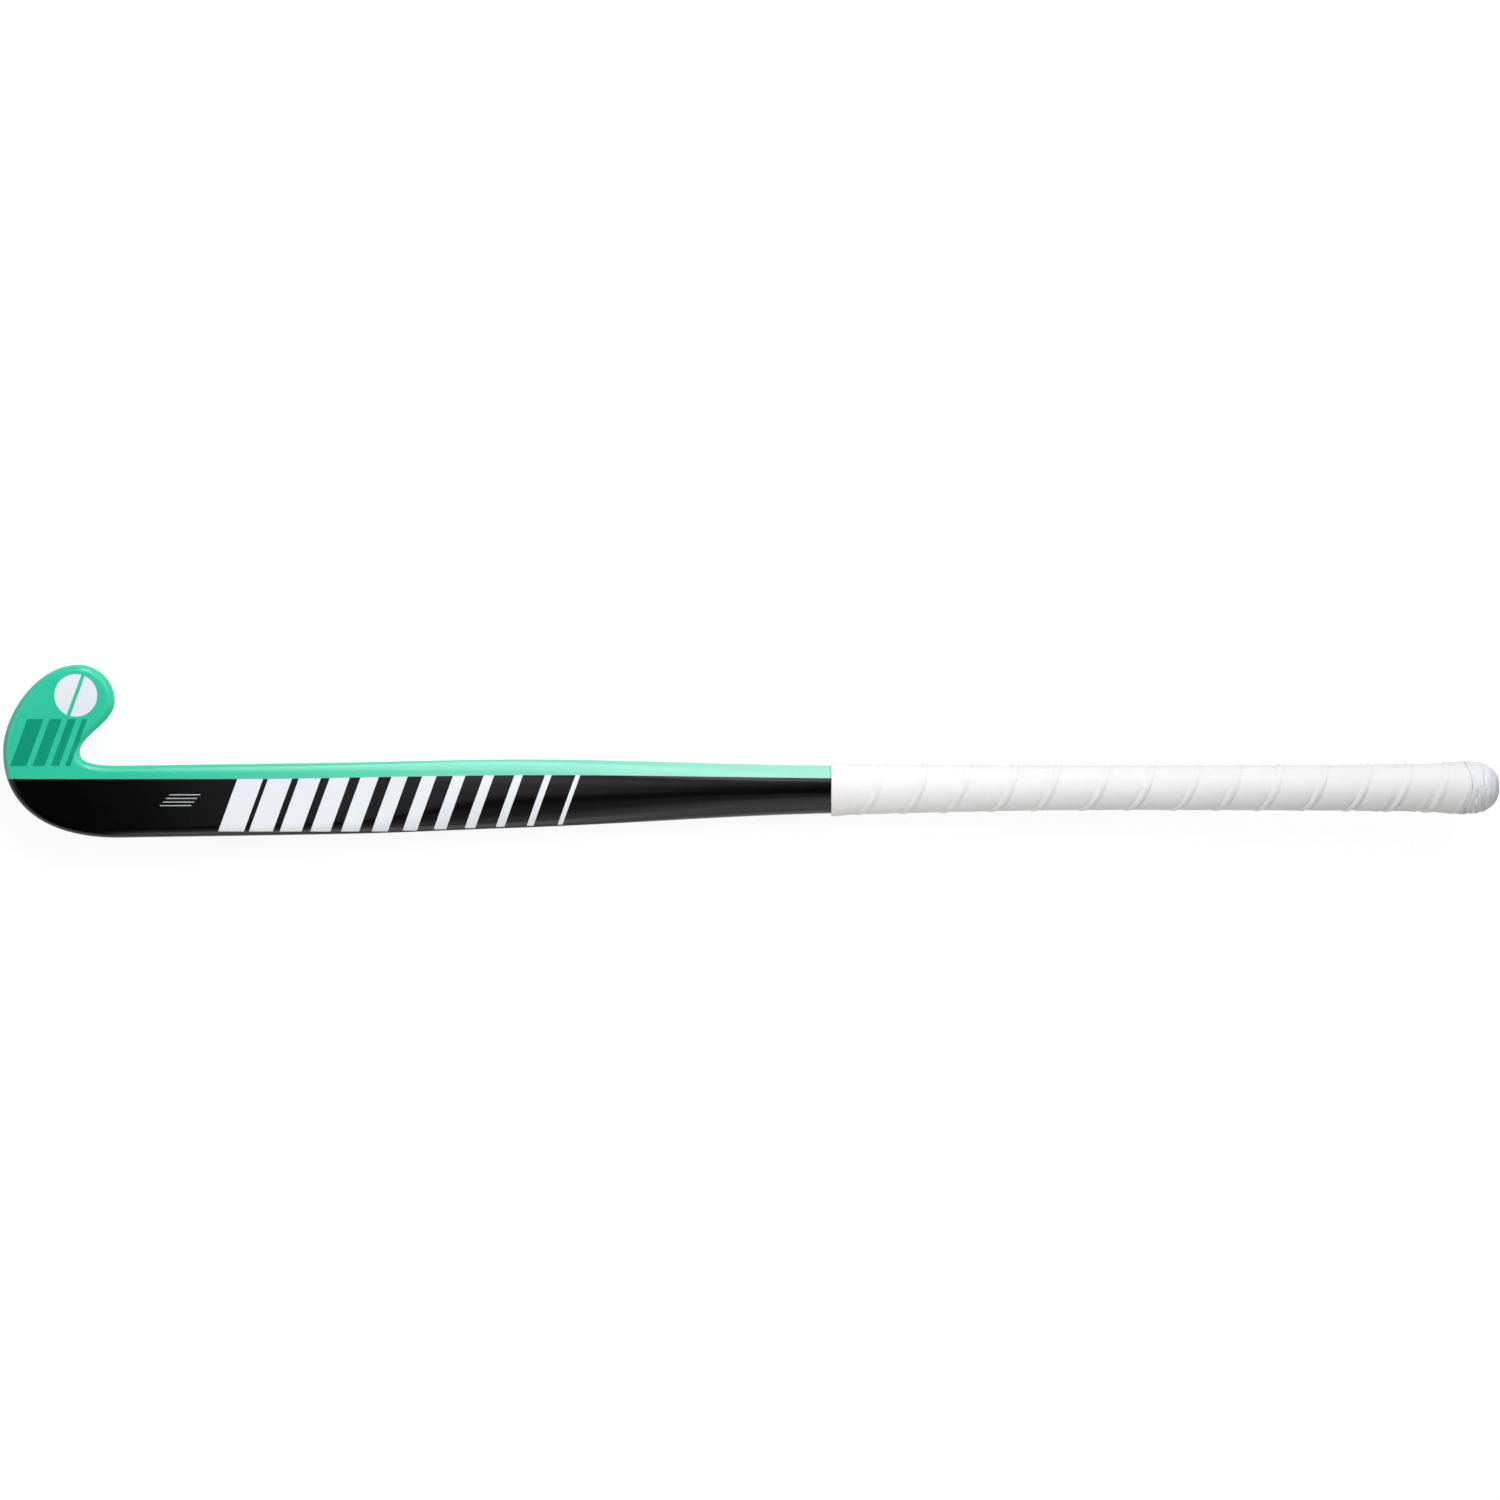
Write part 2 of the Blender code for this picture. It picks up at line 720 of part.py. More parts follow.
def main():
    clear_scene()
    collection = bpy.data.collections.new("hockey_stick")
    bpy.context.scene.collection.children.link(collection)
    make_shell()
    make_head_core()
    make_face_layer()
    make_shaft_cores()
    make_handle_core()
    make_plug()
    make_knob()
    make_butt_cup()
    make_finishing_tape()
    make_grip_tape()
    stand_on_origin(collection)


main()
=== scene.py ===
"""The looks of an indoor hockey stick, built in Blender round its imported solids.

The stick is drawn in its own frame: X runs from the end of the head to the butt, Y from the
handle's axis towards the toe, and Z out of the flat playing face. Sizes are in metres. Each
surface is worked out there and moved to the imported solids' frame by in_row.
"""

import json
import math

import bpy
import numpy as np
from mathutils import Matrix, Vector


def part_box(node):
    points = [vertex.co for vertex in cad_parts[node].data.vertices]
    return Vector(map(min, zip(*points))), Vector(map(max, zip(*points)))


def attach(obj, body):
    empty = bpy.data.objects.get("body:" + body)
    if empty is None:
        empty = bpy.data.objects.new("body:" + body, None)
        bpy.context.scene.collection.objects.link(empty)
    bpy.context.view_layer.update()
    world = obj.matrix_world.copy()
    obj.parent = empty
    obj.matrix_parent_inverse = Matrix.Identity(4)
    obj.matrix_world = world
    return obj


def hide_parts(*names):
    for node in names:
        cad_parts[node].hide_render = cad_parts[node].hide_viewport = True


bl_info = {
    "name": "Indoor hockey stick finish",
    "version": (1, 0, 0),
    "blender": (4, 5, 0),
    "location": "3D View > Sidebar > Stick",
    "description": "Builds the lacquer, prints, grip and studio of an indoor hockey stick",
    "category": "Object",
}

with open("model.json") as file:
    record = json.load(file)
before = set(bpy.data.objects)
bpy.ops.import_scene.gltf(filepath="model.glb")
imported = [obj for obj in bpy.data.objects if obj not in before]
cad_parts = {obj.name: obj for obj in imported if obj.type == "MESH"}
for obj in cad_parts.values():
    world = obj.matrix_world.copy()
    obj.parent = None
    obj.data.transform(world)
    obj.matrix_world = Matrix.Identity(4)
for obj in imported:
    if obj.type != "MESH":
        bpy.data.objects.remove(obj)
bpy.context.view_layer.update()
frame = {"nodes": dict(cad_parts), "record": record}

# Outline of the head, as places on its edge, and how far its curves are pulled to their corners
HEEL_X = 0.0698
HEEL_DROP = 0.0311
BASE_RISE = 0.0223
TOE_X = 0.0464
TOE_RISE = 0.0762
NOSE_X = 0.0688
NOSE_RISE = 0.0539
UNDERCUT_X = 0.0564
UNDERCUT_RISE = 0.0353
UNDERCUT_SLOPE = math.radians(41.6)
THROAT_X = 0.0473
THROAT_RISE = 0.0223
NECK_X = 0.0720
NECK_RISE = 0.0136
NECK_WIDTH = NECK_RISE + HEEL_DROP
HEEL_PULLS = (0.563, 0.683)
BASE_PULLS = (0.438, 0.543)
TIP_PULLS = (0.540, 0.553)
NOSE_PULLS = (0.50, 1.0)
THROAT_PULLS = (0.90, 0.55)
NECK_PULLS = (0.81, 0.69)
THROAT_SHARE = 0.42

# Bow of the playing face
BOW_START_X = 0.110
BOW_END_X = 0.520
HEAD_SLOPE = 0.0680
HANDLE_SLOPE = 0.0590

# Wall of the shell, and sizes of the handle and the butt
SHELL_WALL = 0.0024
STICK_LENGTH = 0.927
CUP_RIM_X = 0.909
CUP_RIM_SHIFT = 0.0002
CUP_RIM_DIP = 0.0056
CUP_RIM_LEAN = 0.0011
CUP_WALL = 0.0012
CUP_WIDTH = 0.0330
HANDLE_END_X = 0.906
HANDLE_RADIUS = 0.0135
KNOB_START_X = 0.878
KNOB_START_LIFT = 0.0008
KNOB_END_LIFT = 0.0020

# Folds of the cup: the place of each as a share of its length, its strength, and their depth
CUP_FOLDS = ((0.24, 0.8), (0.50, 1.2), (0.76, 1.3))
FOLD_DEPTH = 0.00062

# The finishing tape: its start and width, how far its top stands off the handle and falls
# towards the grip, the step at a wrap's edge, and its underside on the handle and on the grip
FINISH_START_X = 0.5137
FINISH_WIDTH = 0.0104
FINISH_TOP = 0.00185
FINISH_FALL = 0.00045
WRAP_STEP = 0.00003
FINISH_BED = 0.00014
FINISH_BED_ON_GRIP = 0.00116

# Sections along the shaft, from the neck to the end of the handle
STATIONS = (NECK_X, 0.215, 0.315, 0.505, 0.690, HANDLE_END_X)
WIDTHS = (NECK_WIDTH, 0.0444, 0.0426, 0.0301, 0.0257, 0.0268)
OFFSETS = (NECK_RISE - NECK_WIDTH / 2, -0.0066, -0.0039, -0.0013, 0.0, 0.0)
DEPTHS = (0.0175, 0.0192, 0.0205, 0.0240, 0.0248, 0.0258)
FACE_EDGE_DEPTHS = (0.0050, 0.0050, 0.0064, 0.0120, 0.0124, 0.0129)
FACE_EDGE_RUNS = (0.0048, 0.0078, 0.0213, 0.01505, 0.01285, 0.0134)
BACK_RUNS = (0.0200, 0.0145, 0.0125, 0.01505, 0.01285, 0.0134)

# Where the tape's lip crosses the middle of the face, turn by turn, from the head's side
LIPS = (0.5440, 0.5710, 0.5972, 0.6268, 0.6528, 0.6830, 0.7108, 0.7395, 0.7649, 0.7909)
LIPS += (0.8182, 0.8455, 0.8703, 0.8932)

# The wound tape: its start under the finishing tape, the gaps under it, between two turns and
# to the cup, the runs in which it thins towards its covered edge, rounds off at its lip and
# climbs onto the turn before it, its least thickness and width, the points across it, and the
# angle round the handle at which it climbs fastest
TAPE_START = 0.0028
BED_GAP = 0.00028
LAP_GAP = 0.00004
CUP_GAP = 0.00025
SKIVED_RUN = 0.0085
LIP_ROUNDING = 0.0016
CLIMB = 0.0018
LEAST_THICKNESS = 0.00003
LEAST_STRIP = 0.002
TAPE_POINTS = 35
FASTEST_CLIMB = math.radians(-80)

# The tape's humps, each with its place, reach and height. The ridges and the second crease are
# placed from the lip, the first crease from the end of the overlap, and the swelling and the
# waist along the stick. The second pair gathers from so many turns on
RIDGE = (0.0024, 0.0009, 0.00024)
CREASE = (0.0019, 0.0010, 0.00040)
SECOND_RIDGE = (0.0092, 0.0009, 0.00032)
SECOND_CREASE = (0.0074, 0.0008, 0.00028)
GATHERS_FROM = 10.6
SWELL = (0.853, 0.011, 0.00040)
WAIST = (0.8820, 0.013, 0.00048)
TAPE_WAVER = 0.00010

# Grids of the shell's outer and inner side and of the green lacquer: the step along the shaft,
# and the steps round the heel, along the toe and round the tip
OUTER_STEPS = (0.004, 40, 52, 16)
INNER_STEPS = (0.012, 16, 20, 8)
GREEN_STEPS = (0.004, 44, 52, 16)

# Steps of the shell and of the green lacquer from edge to edge, and the least sharp angle
STEPS_ACROSS = 48
GREEN_ACROSS = 40
SHARP_ANGLE = math.radians(38)

# Where the heights of the line between the lacquers lie, how far the green runs on under the
# finishing tape, and how far lacquer and ink sink into the shell
PAINT_LINE_PLACES = (0.163, 0.337, 0.513)
GREEN_UNDER_TAPE = 0.002
SUNK = 0.00002

# How far the feet of the bars stay inside the shaft's lower edge
BAR_FOOT_MARGIN = 0.0012

# The stripes on the head
STRIPES_START = 0.0048
STRIPES_FOOT = 0.0135
STRIPES_TOP = 0.0425
STRIPE_WIDTHS = (0.0100, 0.0075, 0.0050, 0.0030)
STRIPE_GAP = 0.0038

# The fine lines by the head: how many, where the first one lies, the shift and the drop from
# each to the next, and their length and height
FINE_LINES = 4
LINES_START = 0.1026
LINES_FOOT = -0.0048
LINE_SHIFT = 0.00186
LINE_DROP = 0.00223
LINE_LENGTH = 0.0193
LINE_HEIGHT = 0.00063

# In the imported solids' frame: where the green lacquer starts and ends its fade, partly painted
# highlight, where the grip darkens towards the butt in painted shade, where its seams get more
# painted shade, and where the cup gets painted shade on its lower side and its end
FADE_AND_SHEEN = (-0.425, 0.045)
FADE_AND_SHEEN_POWER = 1.7
BUTT_SHADE = (0.06, 0.44)
LOW_SHADE = (-0.017, -0.031)
HIGH_SHADE = (-0.0115, -0.0085)
CUP_SHADE_SIDE = (-0.0200, -0.0340)
CUP_SHADE_END = (0.4600, 0.4622)
DUST = (0.5, 0.5, 0.5, 1)

# The camera's sensor in millimetres and its shift over the stick, the heights that the camera's
# distance and the boxes are measured from, and the floor's flat rings and bend
SENSOR_WIDTH = 36
CAMERA_SHIFT = (-0.0003, 0.0008)
FACE_HEIGHT = 0.036
AXIS_HEIGHT = 0.03
FLOOR_RINGS = (0.4, 1.0, 2.0, 4.0, 7.5)
FLOOR_BEND = 2.5

# Tints of the lamps
COOL = (0.945, 0.940, 1.0)
WARM = (1.0, 0.993, 0.98)

# Boxes of light over and beside the stick: angles from straight up, start and end along the
# stick, distance from its axis, and watts
OVERHEAD_BOXES = {
    "middle_box": (-5, 7, -0.285, -0.115, 0.8, 0.096),
    "leaning_box": (8, 20, -0.285, -0.100, 0.8, 0.155),
    "opposite_box": (-22, -7, -0.30, 0.00, 0.8, 0.012),
}
TOE_SIDE_BOXES = {
    "head_upper_box": (16, 30, -0.90, -0.35, 1.0, 0.125),
    "head_side_box": (30, 50, -0.90, -0.35, 1.0, 0.60),
    "shaft_upper_box": (16, 30, -0.35, -0.05, 1.0, 0.15),
    "shaft_side_box": (30, 50, -0.35, -0.05, 1.0, 1.15),
    "shaft_low_box": (50, 78, -0.35, -0.05, 1.0, 3.35),
    "grip_low_box": (50, 78, 0.40, 0.90, 1.0, 0.65),
}
HEEL_SIDE_BOXES = {
    "shaft_upper_fill": (-33, -16, -0.35, -0.05, 1.0, 0.08),
    "shaft_side_fill": (-54, -33, -0.35, -0.05, 1.0, 0.27),
    "shaft_low_fill": (-80, -54, -0.35, -0.05, 1.0, 1.15),
    "neck_upper_fill": (-33, -16, -0.05, 0.09, 1.0, 0.08),
    "neck_side_fill": (-54, -33, -0.05, 0.09, 1.0, 0.27),
    "neck_low_fill": (-80, -54, -0.05, 0.09, 1.0, 0.10),
    "grip_low_fill": (-80, -54, 0.05, 0.25, 1.0, 2.50),
}

WHOLE_TURN = 2 * math.pi
LEAST_INTO = 0.00001


def smooth_through(places, values, x):
    """A curve through the values that never overshoots them: a cubic between each two places.

    Its slope at a place is the harmonic mean of the rises beside it, and it is level past its ends.
    """
    places = np.array(places, float)
    values = np.array(values, float)
    x = np.clip(x, places[0], places[-1])
    run = np.diff(places)
    rise = np.diff(values) / run
    product = rise[:-1] * rise[1:]
    total = np.where(product > 0, rise[:-1] + rise[1:], 1.0)
    middle = np.where(product > 0, 2 * product / total, 0.0)
    slope = np.concatenate([rise[:1], middle, rise[-1:]])
    i = np.clip(np.searchsorted(places, x, side="right") - 1, 0, len(run) - 1)
    t = (x - places[i]) / run[i]
    return (
        (2 * t**3 - 3 * t**2 + 1) * values[i]
        + (t**3 - 2 * t**2 + t) * run[i] * slope[i]
        + (3 * t**2 - 2 * t**3) * values[i + 1]
        + (t**3 - t**2) * run[i] * slope[i + 1]
    )


def smooth_step(t):
    """0 up to t = 0, 1 from t = 1, and an even S between them."""
    t = np.clip(t, 0, 1)
    return t * t * (3 - 2 * t)


def hump(x, place, reach, height=1.0):
    """A hump at a place: its height times e to the minus square of the distance in reaches."""
    return height * np.exp(-(((x - place) / reach) ** 2))


def crowded(count):
    """So many places from 0 to 1 that crowd towards both ends: half of 1 less a cosine."""
    return (1 - np.cos(np.linspace(0, math.pi, count))) / 2


def width(x):
    """Width of the shaft, a smooth curve through its sections."""
    return smooth_through(STATIONS, WIDTHS, x)


def offset(x):
    """Where the middle of the shaft lies, measured from the handle's axis."""
    return smooth_through(STATIONS, OFFSETS, x)


def depth(x):
    """Depth of the shaft, a smooth curve through its sections."""
    return smooth_through(STATIONS, DEPTHS, x)


def bow(x):
    """Height of the playing face along the stick: straight, then an even bend, then straight."""
    bend = BOW_END_X - BOW_START_X
    turn = HEAD_SLOPE + HANDLE_SLOPE
    along = np.clip(x - BOW_START_X, 0, bend)
    past = np.maximum(x - BOW_END_X, 0)
    return -HEAD_SLOPE * x + turn * along**2 / (2 * bend) + turn * past


def row_shift():
    """From the stick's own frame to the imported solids': from their box and the face's mount."""
    low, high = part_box("composite_shell")
    face = frame["record"]["mounts"][0]["pos_m"]
    return np.array([low.x, high.y - TOE_RISE, face[2] - bow(face[0] - low.x)])


ROW_SHIFT = row_shift()


def in_row(points):
    """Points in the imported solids' frame: moved by one shift."""
    return points + ROW_SHIFT


def cornered(edge, t):
    """Points of a cubic curve that leaves start and reaches end along the lines through corner.

    pulls say how far its two handles go towards the corner.
    """
    *points, pulls = edge
    start, corner, end = map(np.array, points)
    t = np.asarray(t, float)[:, None]
    return (
        (1 - t) ** 3 * start
        + 3 * (1 - t) ** 2 * t * (start + pulls[0] * (corner - start))
        + 3 * (1 - t) * t**2 * (end + pulls[1] * (corner - end))
        + t**3 * end
    )


def undercut(x):
    """The point at x of the straight line under the toe."""
    return x, UNDERCUT_RISE + (x - UNDERCUT_X) * math.tan(UNDERCUT_SLOPE)


# Curves of the head's outline: where each starts, the corner it heads for, its end and its pulls
HEEL = ((HEEL_X, -HEEL_DROP), (0, -HEEL_DROP), (0, BASE_RISE), HEEL_PULLS)
BASE = ((0, BASE_RISE), (0, TOE_RISE), (TOE_X, TOE_RISE), BASE_PULLS)
TIP = ((TOE_X, TOE_RISE), (NOSE_X, TOE_RISE), (NOSE_X, NOSE_RISE), TIP_PULLS)
NOSE = (undercut(UNDERCUT_X), undercut(NOSE_X), (NOSE_X, NOSE_RISE), NOSE_PULLS)
THROAT = ((THROAT_X, THROAT_RISE), undercut(THROAT_X), undercut(UNDERCUT_X), THROAT_PULLS)
NECK = ((NECK_X, NECK_RISE), (THROAT_X, NECK_RISE), (THROAT_X, THROAT_RISE), NECK_PULLS)


def shaft_edge(x, side):
    """The shaft's lower edge where side is -1, and its upper one where it is 1."""
    return np.column_stack([x, offset(x) + side * width(x) / 2])


def edge_pairs(end, step, bend, toe, cap):
    """Matching points of the stick's two edges, from x = end round the head to its tip.

    step is the distance between points on the shaft; bend, toe and cap are the steps round the
    heel, along the toe and round the tip. The last two points meet on the tip.
    """
    count = max(1, round((end - NECK_X) / step))
    shaft = np.linspace(NECK_X, end, count + 1)[:0:-1]
    heel = np.linspace(0, 1, bend + 1)
    along = np.linspace(0, 1, toe + 1)[1:]
    low = along[along <= THROAT_SHARE] / THROAT_SHARE
    high = (along[along > THROAT_SHARE] - THROAT_SHARE) / (1 - THROAT_SHARE)
    tip = 0.5 * np.sin(np.linspace(0, math.pi / 2, cap + 1))[1:]
    outer = [cornered(HEEL, heel), cornered(BASE, along), cornered(TIP, tip)]
    inner = [cornered(NECK, heel), cornered(THROAT, low), cornered(NOSE, high)]
    inner.append(cornered(TIP, 1 - tip))
    return np.vstack([shaft_edge(shaft, -1), *outer]), np.vstack([shaft_edge(shaft, 1), *inner])


def fine_outline():
    """The outline as one close row of points, from the handle round the head and back."""
    t = np.linspace(0, 1, 160)
    shaft = np.linspace(NECK_X, STICK_LENGTH, 300)
    out = [cornered(edge, t) for edge in (HEEL, BASE, TIP)]
    back = [cornered(edge, t[::-1]) for edge in (NOSE, THROAT, NECK)]
    return np.vstack([shaft_edge(shaft[::-1], -1), *out, *back, shaft_edge(shaft, 1)])


OUTLINE = fine_outline()
BATCH = 1500


def distance_in(points):
    """How far each point lies inside the outline: the least distance to any of its pieces."""
    start = OUTLINE[:-1]
    step = OUTLINE[1:] - start
    square = np.maximum((step**2).sum(axis=1), 1e-18)
    found = []
    for first in range(0, len(points), BATCH):
        towards = points[first : first + BATCH, None, :] - start
        t = np.clip((towards * step).sum(axis=2) / square, 0, 1)
        away = towards - t[..., None] * step
        found.append(np.sqrt((away**2).sum(axis=2).min(axis=1)))
    return np.concatenate(found)


def inward(edge, inset, side):
    """The edge moved square to itself into the material by inset. side is 1 or -1."""
    along = np.gradient(edge, axis=0)
    along /= np.maximum(np.linalg.norm(along, axis=1), 1e-12)[:, None]
    return edge + side * inset * np.column_stack([along[:, 1], -along[:, 0]])


def rounded(into, run, rise):
    """Drop of a quarter ellipse at a distance into the material, level past its run."""
    u = 1 - np.clip(into / np.maximum(run, 1e-6), 0, 1)
    return rise * (1 - np.sqrt(np.maximum(1 - u**2, 0)))


def heights(flat, into, inset=0.0):
    """Heights of the face and the back over points that lie into the outline, less the inset."""
    x = flat[:, 0]
    edge_line = smooth_through(STATIONS, FACE_EDGE_DEPTHS, x)
    face_run = np.minimum(smooth_through(STATIONS, FACE_EDGE_RUNS, x), width(x) / 2)
    back_run = np.minimum(smooth_through(STATIONS, BACK_RUNS, x), width(x) / 2)
    inner = np.maximum(into - inset, 0)
    face = -inset - rounded(inner, face_run - inset, edge_line - inset)
    back = -depth(x) + inset + rounded(inner, back_run - inset, depth(x) - edge_line - inset)
    return bow(x) + face, bow(x) + back


def lifted(points, lift):
    """A grid of points moved out of its surface by lift, along the product of its two slopes."""
    along_rows, along_columns = np.gradient(points, axis=(0, 1))
    normal = np.cross(along_columns, along_rows)
    size = np.maximum(np.linalg.norm(normal, axis=-1, keepdims=True), 1e-15)
    return points + lift * normal / size


def between(first, last, shares):
    """A grid of points at those shares of the lines from first to last."""
    return first[:, None, :] + shares[..., None] * (last - first)[:, None, :]


def into_outline(lines, least):
    """How far each point of a grid lies inside the outline, and least where it is less."""
    return np.maximum(distance_in(lines.reshape(-1, 2)), least).reshape(lines.shape[:2])


def raised(lines, into, inset=0.0):
    """The face and the back over a grid of flat points that lie so far into the outline."""
    flat = lines.reshape(-1, 2)
    both = heights(flat, into.reshape(-1), inset)
    return [np.column_stack([flat, up]).reshape(*lines.shape[:2], 3) for up in both]


def section_rings(outer, inner, across, inset=0.0):
    """Closed rings over the lines from outer to inner: over the face, then back along the back.

    The places across crowd towards both edges, so that a half ellipse has even angles.
    """
    lines = between(outer, inner, crowded(across + 1))
    into = into_outline(lines, inset + LEAST_INTO)
    into[:, [0, -1]] = inset
    top, bottom = raised(lines, into, inset)
    return np.concatenate([top, bottom[:, 1:-1][:, ::-1]], axis=1)


def grid_faces(numbers):
    """Four-sided faces between the rows and columns of a grid of vertex numbers.

    A face whose last two corners are one vertex is a triangle.
    """
    corners = [numbers[:-1, :-1], numbers[:-1, 1:], numbers[1:, 1:], numbers[1:, :-1]]
    return np.stack(corners, axis=-1).reshape(-1, 4)


def turned_over(faces):
    """The same faces the other way up."""
    triangle = (faces[:, 2] == faces[:, 3])[:, None]
    return np.where(triangle, faces[:, [1, 0, 2, 2]], faces[:, ::-1])


def around(numbers):
    """The grid of vertex numbers with its first column again at its end."""
    return np.hstack([numbers, numbers[:, :1]])


def numbered(shape, start=0):
    """Vertex numbers of a grid of points, row by row from start."""
    return start + np.arange(shape[0] * shape[1]).reshape(shape[0], shape[1])


def to_pole(numbers, pole):
    """The grid with one more row, all of which is the vertex pole."""
    return np.vstack([numbers, np.full((1, numbers.shape[1]), pole)])


def cup_of(outer, outer_pole, inner, inner_pole):
    """A hollow solid of two tubes of rings that share an open rim and close on a pole each."""
    out = around(numbered(outer.shape))
    first_pole = outer.shape[0] * outer.shape[1]
    into = around(numbered(inner.shape, first_pole + 1))
    last_pole = first_pole + 1 + inner.shape[0] * inner.shape[1]
    rim = np.vstack([into[:1], out[:1]])
    faces = [
        grid_faces(to_pole(out, first_pole)),
        grid_faces(rim),
        turned_over(grid_faces(to_pole(into, last_pole))),
    ]
    points = [outer.reshape(-1, 3), outer_pole, inner.reshape(-1, 3), inner_pole]
    return np.vstack(points), np.vstack(faces)


def waver(t, seed, slowest=1.0, count=6):
    """An uneven wave of t, about -1 to 1: a sum of sines of rising pitch and seeded phase."""
    draw = np.random.default_rng(seed)
    total = np.zeros_like(np.asarray(t, float))
    for i in range(count):
        pitch = slowest * (1 + i * 0.83 + 0.3 * draw.random())
        total = total + np.sin(pitch * t + WHOLE_TURN * draw.random()) / (1 + 0.35 * i)
    return total / 2.2


def new_mesh(name, points, faces, finish):
    """A smooth mesh of one material. A face that ends on one vertex twice is a triangle."""
    mesh = bpy.data.meshes.new(name)
    triangle = faces[:, 2] == faces[:, 3]
    kept = np.ones(faces.shape, bool)
    kept[triangle, 3] = False
    corners = faces[kept].astype(np.int32)
    sizes = np.where(triangle, 3, 4)
    mesh.vertices.add(len(points))
    mesh.vertices.foreach_set("co", points.astype(np.float32).ravel())
    mesh.loops.add(len(corners))
    mesh.loops.foreach_set("vertex_index", corners)
    mesh.polygons.add(len(faces))
    mesh.polygons.foreach_set("loop_start", (np.cumsum(sizes) - sizes).astype(np.int32))
    mesh.update(calc_edges=True)
    mesh.materials.append(finish)
    mesh.shade_smooth()
    return mesh, corners


def add_piece(name, points, faces, finish, slot, stands_for=(), uv=None):
    """A piece on the stick's one body, from points in the stick's own frame."""
    mesh, corners = new_mesh(name, in_row(points.reshape(-1, 3)), faces, finish)
    if uv is not None:
        layer = mesh.uv_layers.new(name="surface")
        layer.data.foreach_set("uv", uv.reshape(-1, 2)[corners].astype(np.float32).ravel())
    mesh.set_sharp_from_angle(angle=SHARP_ANGLE)
    piece = bpy.data.objects.new(name, mesh)
    bpy.context.scene.collection.objects.link(piece)
    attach(piece, "root")
    if stands_for:
        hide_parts(*stands_for)
    return piece


def thicken(piece, thickness):
    """Gives a sheet its thickness, inwards."""
    wall = piece.modifiers.new("thickness", "SOLIDIFY")
    wall.thickness = thickness
    wall.offset = -1
    wall.use_even_offset = False


def tinted(name, default, description):
    """A colour that a user may change, as a property."""
    return bpy.props.FloatVectorProperty(
        name=name, description=description, default=default, size=3, subtype="COLOR", min=0, max=1
    )


def number(name, default, description, **kind):
    """A number that a user may change, as a property with that unit or those limits."""
    return bpy.props.FloatProperty(name=name, description=description, default=default, **kind)


def length(name, default, description):
    """A length in metres that a user may change, as a property."""
    return number(name, default, description, unit="LENGTH", precision=5)


def share(name, default, description):
    """A share from 0 to 1 that a user may change, as a property."""
    return number(name, default, description, min=0, max=1, subtype="FACTOR")


def watts(name, default, description):
    """A lamp's power that a user may change, as a property."""
    return number(name, default, description, min=0, unit="POWER")


def whole(name, default, description, least):
    """A count that a user may change, as a property."""
    return bpy.props.IntProperty(name=name, description=description, default=default, min=least)


class StickPaint(bpy.types.PropertyGroup):
    """The two lacquers of the shell and the line between them."""

    black: tinted("Black", (0.0007, 0.0006, 0.0009), "Lacquer below the line")
    green: tinted("Green", (0.0340, 0.5900, 0.3650), "Lacquer above the line and on the toe")
    # The green pales to this by the grip: partly its fade, partly painted highlight
    pale_green_and_sheen: tinted("Pale green", (0.3600, 0.7900, 0.6500), "What the green fades to at the grip")
    head_height: length("Height at the head", 0.0053, "The line above the handle's axis")
    middle_height: length("Height in the middle", 0.0077, "The line at its highest")
    grip_height: length("Height at the grip", 0.0058, "The line where the grip covers it")
    lift: length("Thickness", 0.00008, "How far the green stands off the black")
    roughness: share("Roughness", 0.18, "Roughness of the lacquer")
    haze: share("Haze", 0.06, "How far the roughness varies")
    gloss: number("Refraction", 1.4, "Refractive index of the lacquer", min=1, max=2)


class StickPrints(bpy.types.PropertyGroup):
    """The plain stripes and the disc that are printed on the face."""

    white: tinted("White", (0.830, 0.865, 0.895), "Ink of the bars and the disc")
    dark_green: tinted("Dark green", (0.0060, 0.3250, 0.1900), "Ink of the head's stripes")
    grey: tinted("Grey", (0.45, 0.50, 0.49), "Ink of the fine lines")
    slant: number("Slant", 0.35, "Lean of every stripe", subtype="ANGLE")
    bars: whole("Bars", 12, "How many white bars", 1)
    bars_start: length("Start of the bars", 0.1330, "Foot of the first bar, from the head's end")
    bar_pitch: length("Bar pitch", 0.0190, "From one bar to the next")
    widest_bar: length("Widest bar", 0.0160, "Width of the first bar")
    narrowest_bar: length("Narrowest bar", 0.0030, "Width of the last bar")
    bar_foot: length("Foot of the bars", -0.0272, "Lower end of the bars")
    disc_x: length("Disc, along", 0.0452, "Middle of the disc, from the head's end")
    disc_y: length("Disc, across", 0.0572, "Middle of the disc, from the handle's axis")
    disc_radius: length("Disc radius", 0.0132, "Radius of the disc on the toe")
    disc_gap: length("Disc gap", 0.0022, "Width of the slanted gap through the disc")
    lift: length("Thickness", 0.00016, "How far the ink stands off the shell")


